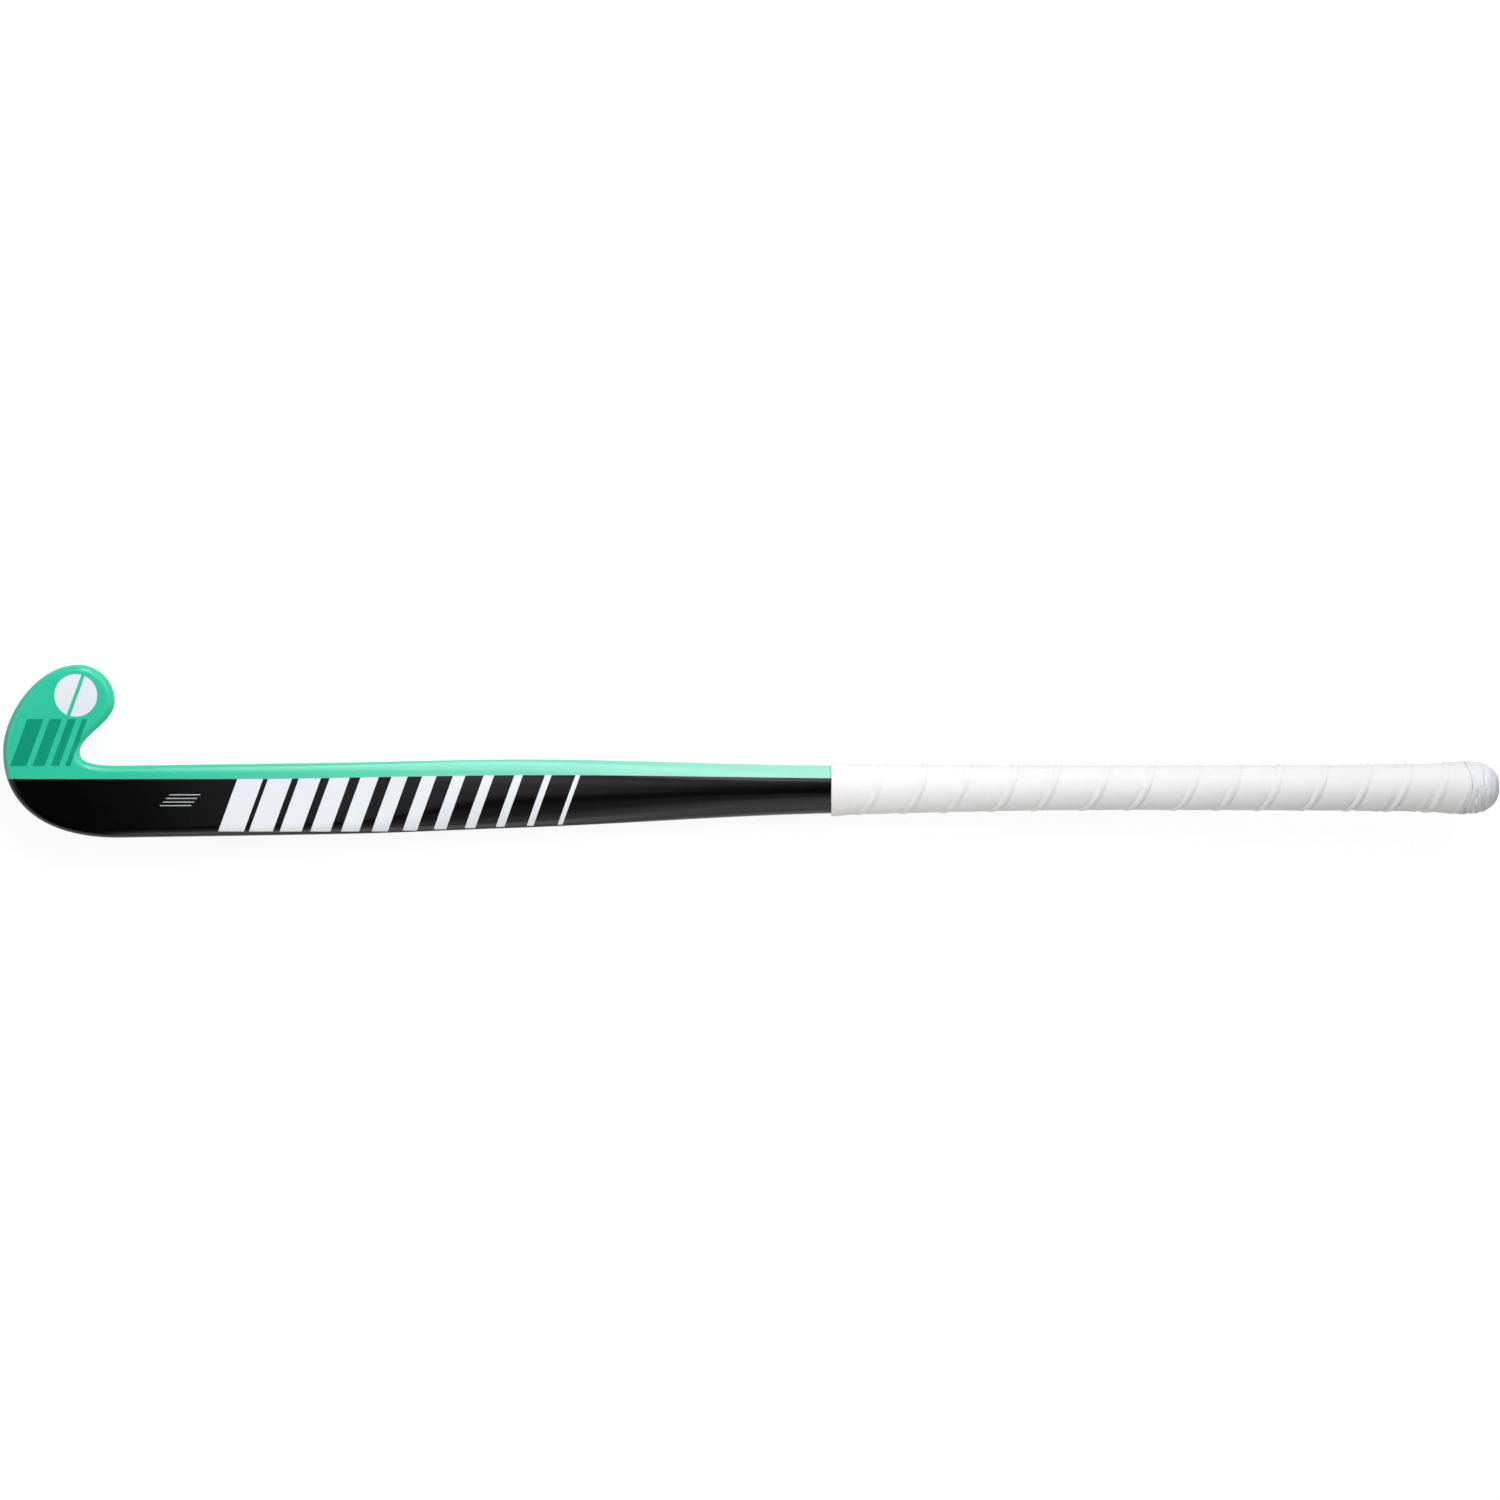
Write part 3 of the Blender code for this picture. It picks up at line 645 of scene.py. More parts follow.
class StickGrip(bpy.types.PropertyGroup):
    """The wound grip, the tape that finishes it and the cup on the butt."""

    tape: tinted("Grip", (0.885, 0.883, 0.877), "Colour of the grip's tape by the shaft")
    # The grip's colour at the butt: painted shade of the light that falls off there
    butt_shade: tinted("Worn grip", (0.830, 0.828, 0.822), "Colour of the grip's tape at the butt")
    # Colour of stains and pits, and of the painted shade in the grip's seams
    stain_and_seam_shade: tinted("Shade", (0.640, 0.622, 0.585), "Colour in the grip's seams")
    finish: tinted("Finishing tape", (0.890, 0.883, 0.868), "Colour of the finishing tape")
    cup: tinted("Cup", (0.800, 0.810, 0.840), "Colour of the butt's cup")
    # Colour of the painted shade on the cup's lower side and its end
    cup_shade: tinted("Scuffs", (0.330, 0.335, 0.350), "Colour of the scuffs on the cup's end")
    steps: whole("Steps", 72, "Sections in one turn of the tape", 12)
    thickness: length("Tape thickness", 0.00078, "Thickness of the grip's tape")
    skived: length("Skived edge", 0.00022, "Thickness of the edge that the next turn covers")
    lip: length("Lip", 0.00048, "Thickness of the edge that shows")
    overlap: length("Overlap", 0.0034, "How far each turn lies over the one before it")
    sway: length("Sway", 0.0036, "How far the lip sways along the stick in each turn")
    roughness: share("Roughness", 0.52, "Roughness of the grip's tape")


class StickStudio(bpy.types.PropertyGroup):
    """The camera, the lamps and the floor."""

    lens: number("Lens", 180, "Focal length", unit="CAMERA", subtype="DISTANCE")
    frame_width: length("Frame width", 0.9293, "What the frame takes in at the stick's height")
    key_power: watts("Key lamp", 36.3, "Power of the lamp over the grip, on the toe's side")
    head_power: watts("Head lamp", 26.5, "Power of the large lamp past the head")
    butt_power: watts("Butt lamp", 15, "Power of the large lamp past the butt")
    low_power: watts("Low lamp", 4.4, "Power of the low lamp past the head, on the heel's side")
    overhead: share("Overhead boxes", 1.0, "Level of the boxes over the shaft")
    toe_side: share("Toe-side boxes", 1.0, "Level of the boxes on the toe's side")
    heel_side: share("Heel-side boxes", 1.0, "Level of the boxes on the heel's side")
    world: share("World", 0.012, "Level of the dim room round the lamps")
    floor: tinted("Floor", (0.20, 0.20, 0.20), "Colour of the floor")
    glow: share("Glow", 0.87, "Added to the floor where the camera sees it")


def paint_line(x, paint):
    """Height of the line between the two lacquers at x: level, with a low swell in its middle."""
    levels = (paint.head_height, paint.middle_height, paint.grip_height)
    return smooth_through(PAINT_LINE_PLACES, levels, x)


def shell_points():
    """The shell's outer and inner rings, each with the point that its tip closes on.

    The grid is section by section from the butt round to the tip. A section is a straight line
    from the outer to the inner edge, whose face and back fall to the edges as quarter ellipses.
    """
    rings = []
    for inset, steps in ((0, OUTER_STEPS), (SHELL_WALL, INNER_STEPS)):
        outer, inner = edge_pairs(HANDLE_END_X, *steps)
        outer, inner = inward(outer, inset, 1), inward(inner, inset, -1)
        flat = (outer[-1:] + inner[-1:]) / 2
        x = flat[:, 0]
        edge_line = smooth_through(STATIONS, FACE_EDGE_DEPTHS, x)
        rings.append(section_rings(outer[:-1], inner[:-1], STEPS_ACROSS, inset))
        rings.append(np.column_stack([flat, bow(x) - edge_line]))
    return rings


def green_sheet(paint):
    """The green lacquer: from the line over the face, round the upper edge and back.

    Rows crowd towards the place where the line meets the outer edge of the head. On the toe,
    which is all above the line, each row closes on itself at the outer edge, and the last one
    closes on the tip. Returns the points and the faces, lifted off the shell.
    """
    outer, inner = edge_pairs(FINISH_START_X + GREEN_UNDER_TAPE, *GREEN_STEPS)
    over = outer[:, 1] - paint_line(outer[:, 0], paint)
    row = int(np.argmax(over > 0))
    part = -over[row - 1] / (over[row] - over[row - 1])
    part = part * (1 - np.linspace(0.9, 0, 10)[:, None] ** 2)
    outer = np.insert(outer, row, outer[row - 1] + part * (outer[row] - outer[row - 1]), axis=0)
    inner = np.insert(inner, row, inner[row - 1] + part * (inner[row] - inner[row - 1]), axis=0)
    row += len(part) - 1
    across = inner - outer
    start = np.zeros(len(outer))
    for _ in range(8):
        line = paint_line(outer[:row, 0] + start[:row] * across[:row, 0], paint)
        start[:row] = (line - outer[:row, 1]) / across[:row, 1]
    lines = between(outer, inner, start[:, None] + crowded(GREEN_ACROSS + 1) * (1 - start[:, None]))
    into = into_outline(lines, LEAST_INTO)
    into[:, -1] = 0
    into[row:, 0] = 0
    top, bottom = raised(lines, into)
    grid = np.concatenate([top, bottom[:, :-1][:, ::-1]], axis=1)
    tip, grid = grid[-1:, 0], grid[:-1]
    grid = lifted(grid, paint.lift)
    grid[row:, 0] = (grid[row:, 0] + grid[row:, -1]) / 2
    ahead = tip - grid[-1].mean(axis=0)
    tip = tip + paint.lift * ahead / np.linalg.norm(ahead)
    numbers = numbered(grid.shape)
    numbers[row:, -1] = numbers[row:, 0]
    used, faces = np.unique(grid_faces(to_pole(numbers, grid[..., 0].size)), return_inverse=True)
    return np.vstack([grid.reshape(-1, 3), tip])[used], faces.reshape(-1, 4)


def print_sheet(first, last, columns, lift):
    """A sheet over the face between two matching lines of points, lifted off it.

    Its places crowd towards both lines, and its height is the face's there.
    """
    lines = between(first, last, crowded(columns + 1))
    face, _ = raised(lines, into_outline(lines, LEAST_INTO))
    return lifted(face, lift)


def add_print(name, sheets, ink, lift):
    """One piece of several sheets of ink, each as thick as it stands off the shell."""
    faces = []
    start = 0
    for sheet in sheets:
        faces.append(grid_faces(numbered(sheet.shape, start)))
        start += sheet[..., 0].size
    points = np.vstack([sheet.reshape(-1, 3) for sheet in sheets])
    piece = add_piece(name, points, np.vstack(faces), ink, "lacquered_composite")
    thicken(piece, lift + SUNK)


def level(height):
    """A level line at that height, as a function of x."""
    return lambda x: height + 0 * x


def bar_lines(start, bar_width, foot, top, slant, rows=44):
    """The left and right side of a slanted bar from the height foot to the height top.

    top is a function of x, and the sides' points crowd towards both ends of the bar.
    """
    shares = crowded(rows)
    sides = []
    for x in (start, start + bar_width):
        end = top(np.array([x]))
        for _ in range(4):
            end = top(x + (end - foot) * math.tan(slant))
        y = foot + shares * (end[0] - foot)
        sides.append(np.column_stack([x + (y - foot) * math.tan(slant), y]))
    return sides


def disc_part(centre, radius, low, high, slant, rows=40):
    """The matching ends of slanted chords of a disc, for distances low to high from its middle."""
    angle = np.linspace(math.asin(low / radius), math.asin(high / radius), rows)
    away = radius * np.sin(angle)
    half = radius * np.cos(angle)
    along = np.array([math.sin(slant), math.cos(slant)])
    beside = np.array([math.cos(slant), -math.sin(slant)])
    middle = np.array(centre) + away[:, None] * beside
    return middle + half[:, None] * along, middle - half[:, None] * along


def bar_sheets(ink, paint):
    """The bars along the shaft, narrower one by one. Each ends where the green starts."""

    def to_line(x):
        return paint_line(x, paint)

    sheets = []
    for place in range(ink.bars):
        part = place / max(ink.bars - 1, 1)
        bar_width = ink.widest_bar + part * (ink.narrowest_bar - ink.widest_bar)
        start = ink.bars_start + place * ink.bar_pitch
        foot = max(ink.bar_foot, shaft_edge(np.array([start]), -1)[0, 1] + BAR_FOOT_MARGIN)
        start += (foot - ink.bar_foot) * math.tan(ink.slant)
        sides = bar_lines(start, bar_width, foot, to_line, ink.slant)
        sheets.append(print_sheet(*sides, 8, ink.lift))
    return sheets


def stripe_sheets(ink):
    """The slanted stripes on the head, narrower one by one."""
    sheets = []
    start = STRIPES_START
    for stripe_width in STRIPE_WIDTHS:
        sides = bar_lines(start, stripe_width, STRIPES_FOOT, level(STRIPES_TOP), ink.slant)
        sheets.append(print_sheet(*sides, 10, ink.lift))
        start += stripe_width + STRIPE_GAP
    return sheets


def disc_sheets(ink):
    """The two parts of the disc on the toe, on either side of its slanted gap."""
    sheets = []
    rim = 0.9995 * ink.disc_radius
    for low, high in ((-rim, -ink.disc_gap / 2), (ink.disc_gap / 2, rim)):
        chords = disc_part((ink.disc_x, ink.disc_y), ink.disc_radius, low, high, ink.slant)
        sheets.append(print_sheet(*chords, 24, ink.lift))
    return sheets


def line_sheets(ink):
    """The fine lines by the head, each a step below and behind the last."""
    sheets = []
    for place in range(FINE_LINES):
        low = LINES_FOOT - LINE_DROP * place
        start = LINES_START - LINE_SHIFT * place
        sides = bar_lines(start, LINE_LENGTH, low, level(low + LINE_HEIGHT), ink.slant, 3)
        sheets.append(print_sheet(*sides, 10, ink.lift))
    return sheets


def oval(x, lift, angle):
    """A point of the handle's oval section at x, moved out by lift, at an angle from the face."""
    across = (width(x) / 2 + lift) * np.sin(angle)
    up = (depth(x) / 2 + lift) * np.cos(angle)
    return np.stack([x + 0 * angle, offset(x) + across, bow(x) - depth(x) / 2 + up], axis=-1)


def bed_lift(x):
    """How far the tape's bed stands off the handle: a thin gap, and the knob ring's even cone."""
    slope = (KNOB_END_LIFT - KNOB_START_LIFT) / (HANDLE_END_X - KNOB_START_X)
    cone = KNOB_START_LIFT + slope * (np.minimum(x, HANDLE_END_X) - KNOB_START_X)
    return BED_GAP + np.maximum(cone, 0)


def cup_rim(angle):
    """Place of the cup's rim: it dips by a squared sine towards both edges, and leans by a sine."""
    side = np.sin(angle)
    return CUP_RIM_X + CUP_RIM_SHIFT - CUP_RIM_DIP * side**2 + CUP_RIM_LEAN * side


def lip_place(turn, sway):
    """Where the tape's lip lies after so many turns: through its measured places on the face.

    Between them it climbs unevenly, by a sine of the angle round the handle, and wavers.
    """
    first, last = LIPS[1] - LIPS[0], LIPS[-1] - LIPS[-2]
    places = [LIPS[0] - 2 * first, LIPS[0] - first, *LIPS, LIPS[-1] + last, LIPS[-1] + 2 * last]
    count = np.arange(-2, len(LIPS) + 2)
    angle = WHOLE_TURN * turn
    uneven = sway * (np.sin(angle - FASTEST_CLIMB) + math.sin(FASTEST_CLIMB))
    return smooth_through(count, places, turn) + uneven + 0.0003 * waver(angle, 3, 0.37)


def skived_thickness(from_edge, grip):
    """Thickness of the tape at a distance from its covered edge: it thins towards that edge."""
    return grip.skived + (grip.thickness - grip.skived) * smooth_step(from_edge / SKIVED_RUN)


def tape_thickness(from_edge, from_lip, grip):
    """The tape's own thickness: it thins towards both edges and rounds off at the lip."""
    own = skived_thickness(from_edge, grip)
    own = grip.lip + (own - grip.lip) * smooth_step(from_lip / grip.overlap)
    edge = np.clip(1 - from_lip / LIP_ROUNDING, 0, 1)
    return np.maximum(own * np.sqrt(1 - edge**2), LEAST_THICKNESS)


def tape_relief(x, from_edge, from_lip, turn, angle, grip):
    """How far the tape's top rises over its own thickness.

    It wavers where it lies bare. A ridge and a crease follow the lip, deeper on the heel's side
    and by the toe's, and a second pair gathers near the butt. The tape swells before the knob
    and draws in where the knob starts. Each of these is a hump.
    """
    bare = smooth_step(from_lip / 0.004) * smooth_step((from_edge - grip.overlap) / 0.003)
    low_side = smooth_step(0.5 - 0.8 * np.sin(angle))
    toe_side = smooth_step((np.sin(angle) - 0.7) / 0.3)
    drawn = (0.36 + 0.88 * low_side + 0.55 * toe_side) * (1 + 0.4 * waver(angle, 12, 0.8))
    gathered = low_side * smooth_step((turn - GATHERS_FROM) / 0.8)
    past_overlap = from_lip - grip.overlap
    uneven = TAPE_WAVER * bare * waver(3.1 * angle + 260 * x, 11)
    uneven = uneven + drawn * (hump(from_lip, *RIDGE) - hump(past_overlap, *CREASE))
    uneven = uneven + gathered * (hump(from_lip, *SECOND_RIDGE) - hump(from_lip, *SECOND_CREASE))
    return uneven + bare * (hump(x, *SWELL) - hump(x, *WAIST))


def tape_rings(grip):
    """Sections of the wound tape and their surface map, step by step round the handle.

    A section runs over the tape from its covered edge to its lip and back underneath. There the
    tape lies on the handle, and then on the edge of the turn before it. Its top is that bed
    plus its own thickness and its relief. Its points crowd towards the lip, by a power.
    """
    turn = np.arange(-2 * grip.steps, (len(LIPS) + 2) * grip.steps) / grip.steps
    angle = WHOLE_TURN * turn
    lip = lip_place(turn, grip.sway)
    covered = lip_place(turn - 1, grip.sway) - grip.overlap
    start = FINISH_START_X + TAPE_START
    end = cup_rim(angle) - CUP_GAP
    kept = (lip > start + LEAST_STRIP) & (covered < end - LEAST_STRIP)
    turn, angle, lip, covered, end = (v[kept][:, None] for v in (turn, angle, lip, covered, end))
    left, right = np.maximum(covered, start), np.minimum(lip, end)
    shares = 1 - np.linspace(1, 0, TAPE_POINTS) ** 1.6
    x = left + shares * (right - left)
    from_edge, from_lip = x - covered, lip - x
    climb = smooth_step((grip.overlap + CLIMB - from_lip) / CLIMB)
    under = climb * (skived_thickness(np.maximum(grip.overlap - from_lip, 0), grip) + LAP_GAP)
    bed = bed_lift(x) + under * (1.04 + 0.03 * waver(angle, 5, 0.61))
    own = tape_thickness(from_edge, from_lip, grip)
    top = oval(x, bed + own + tape_relief(x, from_edge, from_lip, turn, angle, grip), angle)
    low = oval(x, bed, angle)
    seen = (x - covered - grip.overlap) / (lip - covered - grip.overlap)
    uv = np.stack([HANDLE_RADIUS * angle + 0 * x, seen], axis=-1)
    points = np.concatenate([top, low[:, ::-1]], axis=1)
    return points, np.concatenate([uv, uv[:, ::-1]], axis=1)


def finishing_rings():
    """Sections of the finishing tape, round the handle: three wraps whose edges just show.

    The section runs over the top from the head's side and back underneath, where it steps up
    onto the end of the grip. Its top is crowned by a half sine and rounded at both edges.
    """
    angle = np.linspace(0, WHOLE_TURN, 144, endpoint=False)[:, None]
    shares = np.array([0, 0.008, 0.025, 0.06, 0.14, 0.27, 0.285, 0.4, 0.53, 0.545, 0.66, 0.79])
    shares = np.concatenate([shares, [0.9, 0.95, 0.98, 0.992, 1.0]])
    edge = np.clip(np.minimum(shares, 1 - shares) / 0.03, 0, 1)
    left = FINISH_START_X + 0.00008 * waver(angle, 21)
    right = FINISH_START_X + FINISH_WIDTH + 0.00030 * waver(angle, 22)
    x = left + shares * (right - left)
    wraps = WRAP_STEP * ((shares > 0.28) + (shares > 0.54).astype(float))
    crown = 0.00008 * np.sin(math.pi * shares)
    rounded_edge = 0.00035 * (1 - np.sqrt(1 - (1 - edge) ** 2))
    ripple = 0.00003 * waver(2.0 * angle + 600 * x, 23)
    top = FINISH_TOP - FINISH_FALL * smooth_step(shares) + crown - wraps - rounded_edge + ripple
    on_grip = smooth_step((x - FINISH_START_X - 0.0016) / 0.0010)
    low = FINISH_BED + on_grip * (FINISH_BED_ON_GRIP - FINISH_BED)
    low = np.minimum(low, top - 0.0001)
    points = [oval(x, top, angle), oval(x, low, angle)[:, ::-1]]
    return np.concatenate(points, axis=1)


def cup_rings(wall, rows, columns):
    """Rings of the butt's cup and the point that they close on, less a wall.

    A ring's size falls along the butt as a blunt superellipse, (1 - s^2.9)^(1/2.3). The skin is
    drawn into a few shallow folds that run round the butt, each a hump along it that wavers, and
    puckers a little at its rim.
    """
    angle = np.linspace(WHOLE_TURN, 0, columns, endpoint=False)[None, :]
    s = np.sin(np.linspace(0, math.pi / 2, rows + 1))[:-1, None]
    rim = cup_rim(angle)
    end = STICK_LENGTH - wall
    x = rim + s * (end - rim)
    size = (1 - s**2.9) ** (1 / 2.3)
    half_width = CUP_WIDTH / 2 - wall
    half_depth = half_width - (WIDTHS[-1] - DEPTHS[-1]) / 2
    folds = 0
    for seed, (place, deep) in enumerate(CUP_FOLDS):
        line = place + 0.050 * waver(angle, 40 + seed)
        strength = deep * np.clip(0.55 + 0.9 * waver(angle, 50 + seed, 1.4), 0, 1)
        folds = folds + hump(s, line, 0.050, strength)
    pucker = hump(s, 0.02, 0.06) * waver(angle, 60, 5.0)
    soft = 0.00020 * waver(2 * angle + 9 * s, 61)
    lift = -FOLD_DEPTH * folds + 0.00012 * pucker + soft * size - hump(s, 0, 0.02, 0.0001)
    lift = lift * (wall == 0)
    axis = bow(x) - depth(CUP_RIM_X) / 2
    across = (half_width * size + lift) * np.sin(angle)
    up = axis + (half_depth * size + lift) * np.cos(angle)
    pole = np.array([[end, 0, bow(end) - depth(CUP_RIM_X) / 2]])
    return np.stack([x + 0 * angle, across, up], axis=-1), pole


def feed(tree, made, values):
    """Feeds a node's inputs. Each takes a number or a colour, or the socket that feeds it."""
    for name, value in values.items():
        if isinstance(value, bpy.types.NodeSocket):
            tree.links.new(value, made.inputs[name])
        else:
            made.inputs[name].default_value = value


def node(tree, kind, inputs=None, **settings):
    """A node of the tree with those settings, whose inputs are fed."""
    made = tree.nodes.new(kind)
    for name, value in settings.items():
        setattr(made, name, value)
    feed(tree, made, inputs or {})
    return made


def effect(name, inputs, outputs):
    """A node group that takes a place and those numbers and puts out numbers, and its end nodes."""
    tree = bpy.data.node_groups.new(name, "ShaderNodeTree")
    tree.interface.new_socket("Vector", in_out="INPUT", socket_type="NodeSocketVector")
    for socket, value in inputs.items():
        made = tree.interface.new_socket(socket, in_out="INPUT", socket_type="NodeSocketFloat")
        made.default_value = value
    for socket in outputs:
        tree.interface.new_socket(socket, in_out="OUTPUT", socket_type="NodeSocketFloat")
    return tree, tree.nodes.new("NodeGroupInput"), tree.nodes.new("NodeGroupOutput")


def maths(tree, operation, *values):
    """What a Math node of that operation puts out for the values."""
    return node(tree, "ShaderNodeMath", dict(enumerate(values)), operation=operation).outputs[0]


def multiply_add(tree, value, factor, addend=0.0):
    """The value times the factor, plus the addend."""
    return maths(tree, "MULTIPLY_ADD", value, factor, addend)


def stretched(tree, place, factors):
    """The place times a factor on each axis. A pattern is drawn out where its factor is small."""
    made = node(tree, "ShaderNodeVectorMath", {0: place, 1: factors}, operation="MULTIPLY")
    return made.outputs["Vector"]


def axes(tree, vector):
    """The three parts of a vector, by the names X, Y and Z."""
    return node(tree, "ShaderNodeSeparateXYZ", {"Vector": vector}).outputs


def noise(tree, vector, scale, detail=2.0, roughness=0.5):
    """Soft noise from 0 to 1, about 0.5, with so many cells to a metre."""
    inputs = {"Vector": vector, "Scale": scale, "Detail": detail, "Roughness": roughness}
    return node(tree, "ShaderNodeTexNoise", inputs).outputs["Fac"]


def ramp(tree, value, low, high):
    """0 below low, 1 above high, and even between them."""
    inputs = {"Value": value, "From Min": low, "From Max": high}
    return node(tree, "ShaderNodeMapRange", inputs).outputs["Result"]


def mixed(tree, factor, first, second, blend="MIX"):
    """Colours blended by the factor, from first to second."""
    inputs = {0: factor, 6: first, 7: second}
    return node(tree, "ShaderNodeMix", inputs, data_type="RGBA", blend_type=blend).outputs[2]


def flowed_lacquer():
    """Sprayed lacquer: the slow ripple that it sets in, patches of haze and a little fine dust."""
    inputs = {"Roughness": 0.3, "Haze": 0.1}
    outputs = ("Roughness", "Height", "Dust", "Patches")
    tree, given, put = effect("flowed lacquer", inputs, outputs)
    place = given.outputs["Vector"]
    ripple = noise(tree, place, 190, 1.0)
    fine = noise(tree, place, 1500, 2.0)
    patches = noise(tree, place, 26, 3.0)
    centred = multiply_add(tree, patches, 1.0, -0.5)
    rough = multiply_add(tree, centred, given.outputs["Haze"], given.outputs["Roughness"])
    cells = node(tree, "ShaderNodeTexVoronoi", {"Vector": place, "Scale": 420})
    specks = ramp(tree, cells.outputs["Distance"], 0.075, 0.045)
    here = ramp(tree, noise(tree, place, 55), 0.56, 0.66)
    dust = maths(tree, "MULTIPLY", specks, here)
    height = multiply_add(tree, fine, 0.12, ripple)
    feed(tree, put, {"Roughness": rough, "Height": height, "Dust": dust, "Patches": patches})
    return tree


def soft_skin():
    """Polyurethane skin: a fine leather grain, small creases round the handle and faint stains."""
    inputs = {"Grain": 900.0, "Creases": 0.4}
    tree, given, put = effect("soft skin", inputs, ("Height", "Stains", "Pits"))
    place = given.outputs["Vector"]
    pebbles = node(tree, "ShaderNodeTexVoronoi", {"Vector": place, "Scale": given.outputs["Grain"]})
    grain = node(tree, "ShaderNodeTexNoise", {"Vector": place, "Scale": given.outputs["Grain"]})
    creases = noise(tree, stretched(tree, place, (420, 60, 60)), 1.0, 3.0, 0.6)
    fine = multiply_add(tree, grain.outputs["Fac"], 0.5, pebbles.outputs["Distance"])
    height = multiply_add(tree, creases, given.outputs["Creases"], multiply_add(tree, fine, 0.3))
    stains = noise(tree, place, 45, 4.0, 0.6)
    pits = ramp(tree, pebbles.outputs["Distance"], 0.45, 0.75)
    feed(tree, put, {"Height": height, "Stains": stains, "Pits": pits})
    return tree


EFFECTS = {"flowed lacquer": flowed_lacquer, "soft skin": soft_skin}


def new_finish(name, **constants):
    """A material, its tree, its Principled shader with those constants and its object coordinates."""
    made = bpy.data.materials.new(name)
    made.use_nodes = True
    tree = made.node_tree
    shader = tree.nodes["Principled BSDF"]
    feed(tree, shader, {socket.replace("_", " "): value for socket, value in constants.items()})
    place = node(tree, "ShaderNodeTexCoord").outputs["Object"]
    return made, tree, shader, place


def grouped(tree, name, inputs):
    """Places a shared effect in a material with its own values, and returns what it puts out."""
    shared = bpy.data.node_groups.get(name) or EFFECTS[name]()
    return node(tree, "ShaderNodeGroup", inputs, node_tree=shared).outputs


def surfaced(tree, shader, colour, roughness, height, distance, strength=1.0):
    """Feeds a shader its colour, its roughness and a bump of that height and distance."""
    inputs = {"Height": height, "Distance": distance, "Strength": strength}
    normal = node(tree, "ShaderNodeBump", inputs).outputs["Normal"]
    feed(tree, shader, {"Base Color": colour, "Roughness": roughness, "Normal": normal})


def lacquer(name, colour, paint, deeper=0.9, dust=0.25, faded_and_sheen=None):
    """A sprayed or printed colour, a little deeper in patches, with fine dust in it.

    With a pale colour given, the colour turns to that one from the head to the grip, faster near the
    grip: partly the lacquer's fade, partly painted highlight that stands in for the lamps' sheen.
    """
    made, tree, shader, place = new_finish(name, IOR=paint.gloss)
    inputs = {"Vector": place, "Roughness": paint.roughness, "Haze": paint.haze}
    flow = grouped(tree, "flowed lacquer", inputs)
    base = (*colour, 1)
    if faded_and_sheen:
        # Partly a fade of the lacquer, partly painted highlight: the green pales towards the grip
        fade = maths(tree, "POWER", ramp(tree, axes(tree, place)["X"], *FADE_AND_SHEEN), FADE_AND_SHEEN_POWER)
        base = mixed(tree, fade, base, (*faded_and_sheen, 1))
    deep = mixed(tree, 1.0, base, (deeper, deeper, deeper, 1), "MULTIPLY")
    patched = mixed(tree, ramp(tree, flow["Patches"], 0.35, 0.65), base, deep)
    dusted = mixed(tree, multiply_add(tree, flow["Dust"], dust), patched, DUST)
    surfaced(tree, shader, dusted, flow["Roughness"], flow["Height"], 0.00004, 0.5)
    return made


def shaded_cup(tree, place, tint, cup_shade):
    """The cup's tint, darkened in streaks round its lower side and all over its end: painted shade.
    """
    streaks = ramp(tree, noise(tree, stretched(tree, place, (420, 110, 110)), 1.0, 3.0), 0.42, 0.62)
    spot = axes(tree, place)
    # Painted shade on the lower side and at the end, where the cup turns from the lamps
    painted_cup_shade = maths(tree, "MULTIPLY", streaks, ramp(tree, spot["Y"], *CUP_SHADE_SIDE))
    painted_cup_shade = maths(tree, "MAXIMUM", painted_cup_shade, ramp(tree, spot["X"], *CUP_SHADE_END))
    return mixed(tree, multiply_add(tree, painted_cup_shade, 0.62), tint, (*cup_shade, 1))


def seam_shaded(tree, place, tint, shade, stains):
    """The grip's tint, shaded on both sides of the tape's lip by the tape's surface map.

    The shade is painted shade, uneven with the stains, and deeper towards both edges of the stick.
    """
    surface = node(tree, "ShaderNodeUVMap", uv_map="surface").outputs["UV"]
    across = axes(tree, surface)["Y"]
    # Painted shade on both sides of the tape's lip, where its seams would shade
    seam_shade = maths(tree, "MAXIMUM", ramp(tree, across, 0.06, -0.01), ramp(tree, across, 0.95, 1.0))
    uneven = maths(tree, "MULTIPLY", seam_shade, multiply_add(tree, stains, 1.1, 0.1))
    side = axes(tree, place)["Y"]
    # The painted shade is deeper towards the lower edge and at the upper edge
    deep = multiply_add(tree, ramp(tree, side, *LOW_SHADE), 0.28, 0.14)
    deep = multiply_add(tree, ramp(tree, side, *HIGH_SHADE), 0.55, deep)
    return mixed(tree, maths(tree, "MULTIPLY", uneven, deep), tint, (*shade, 1))


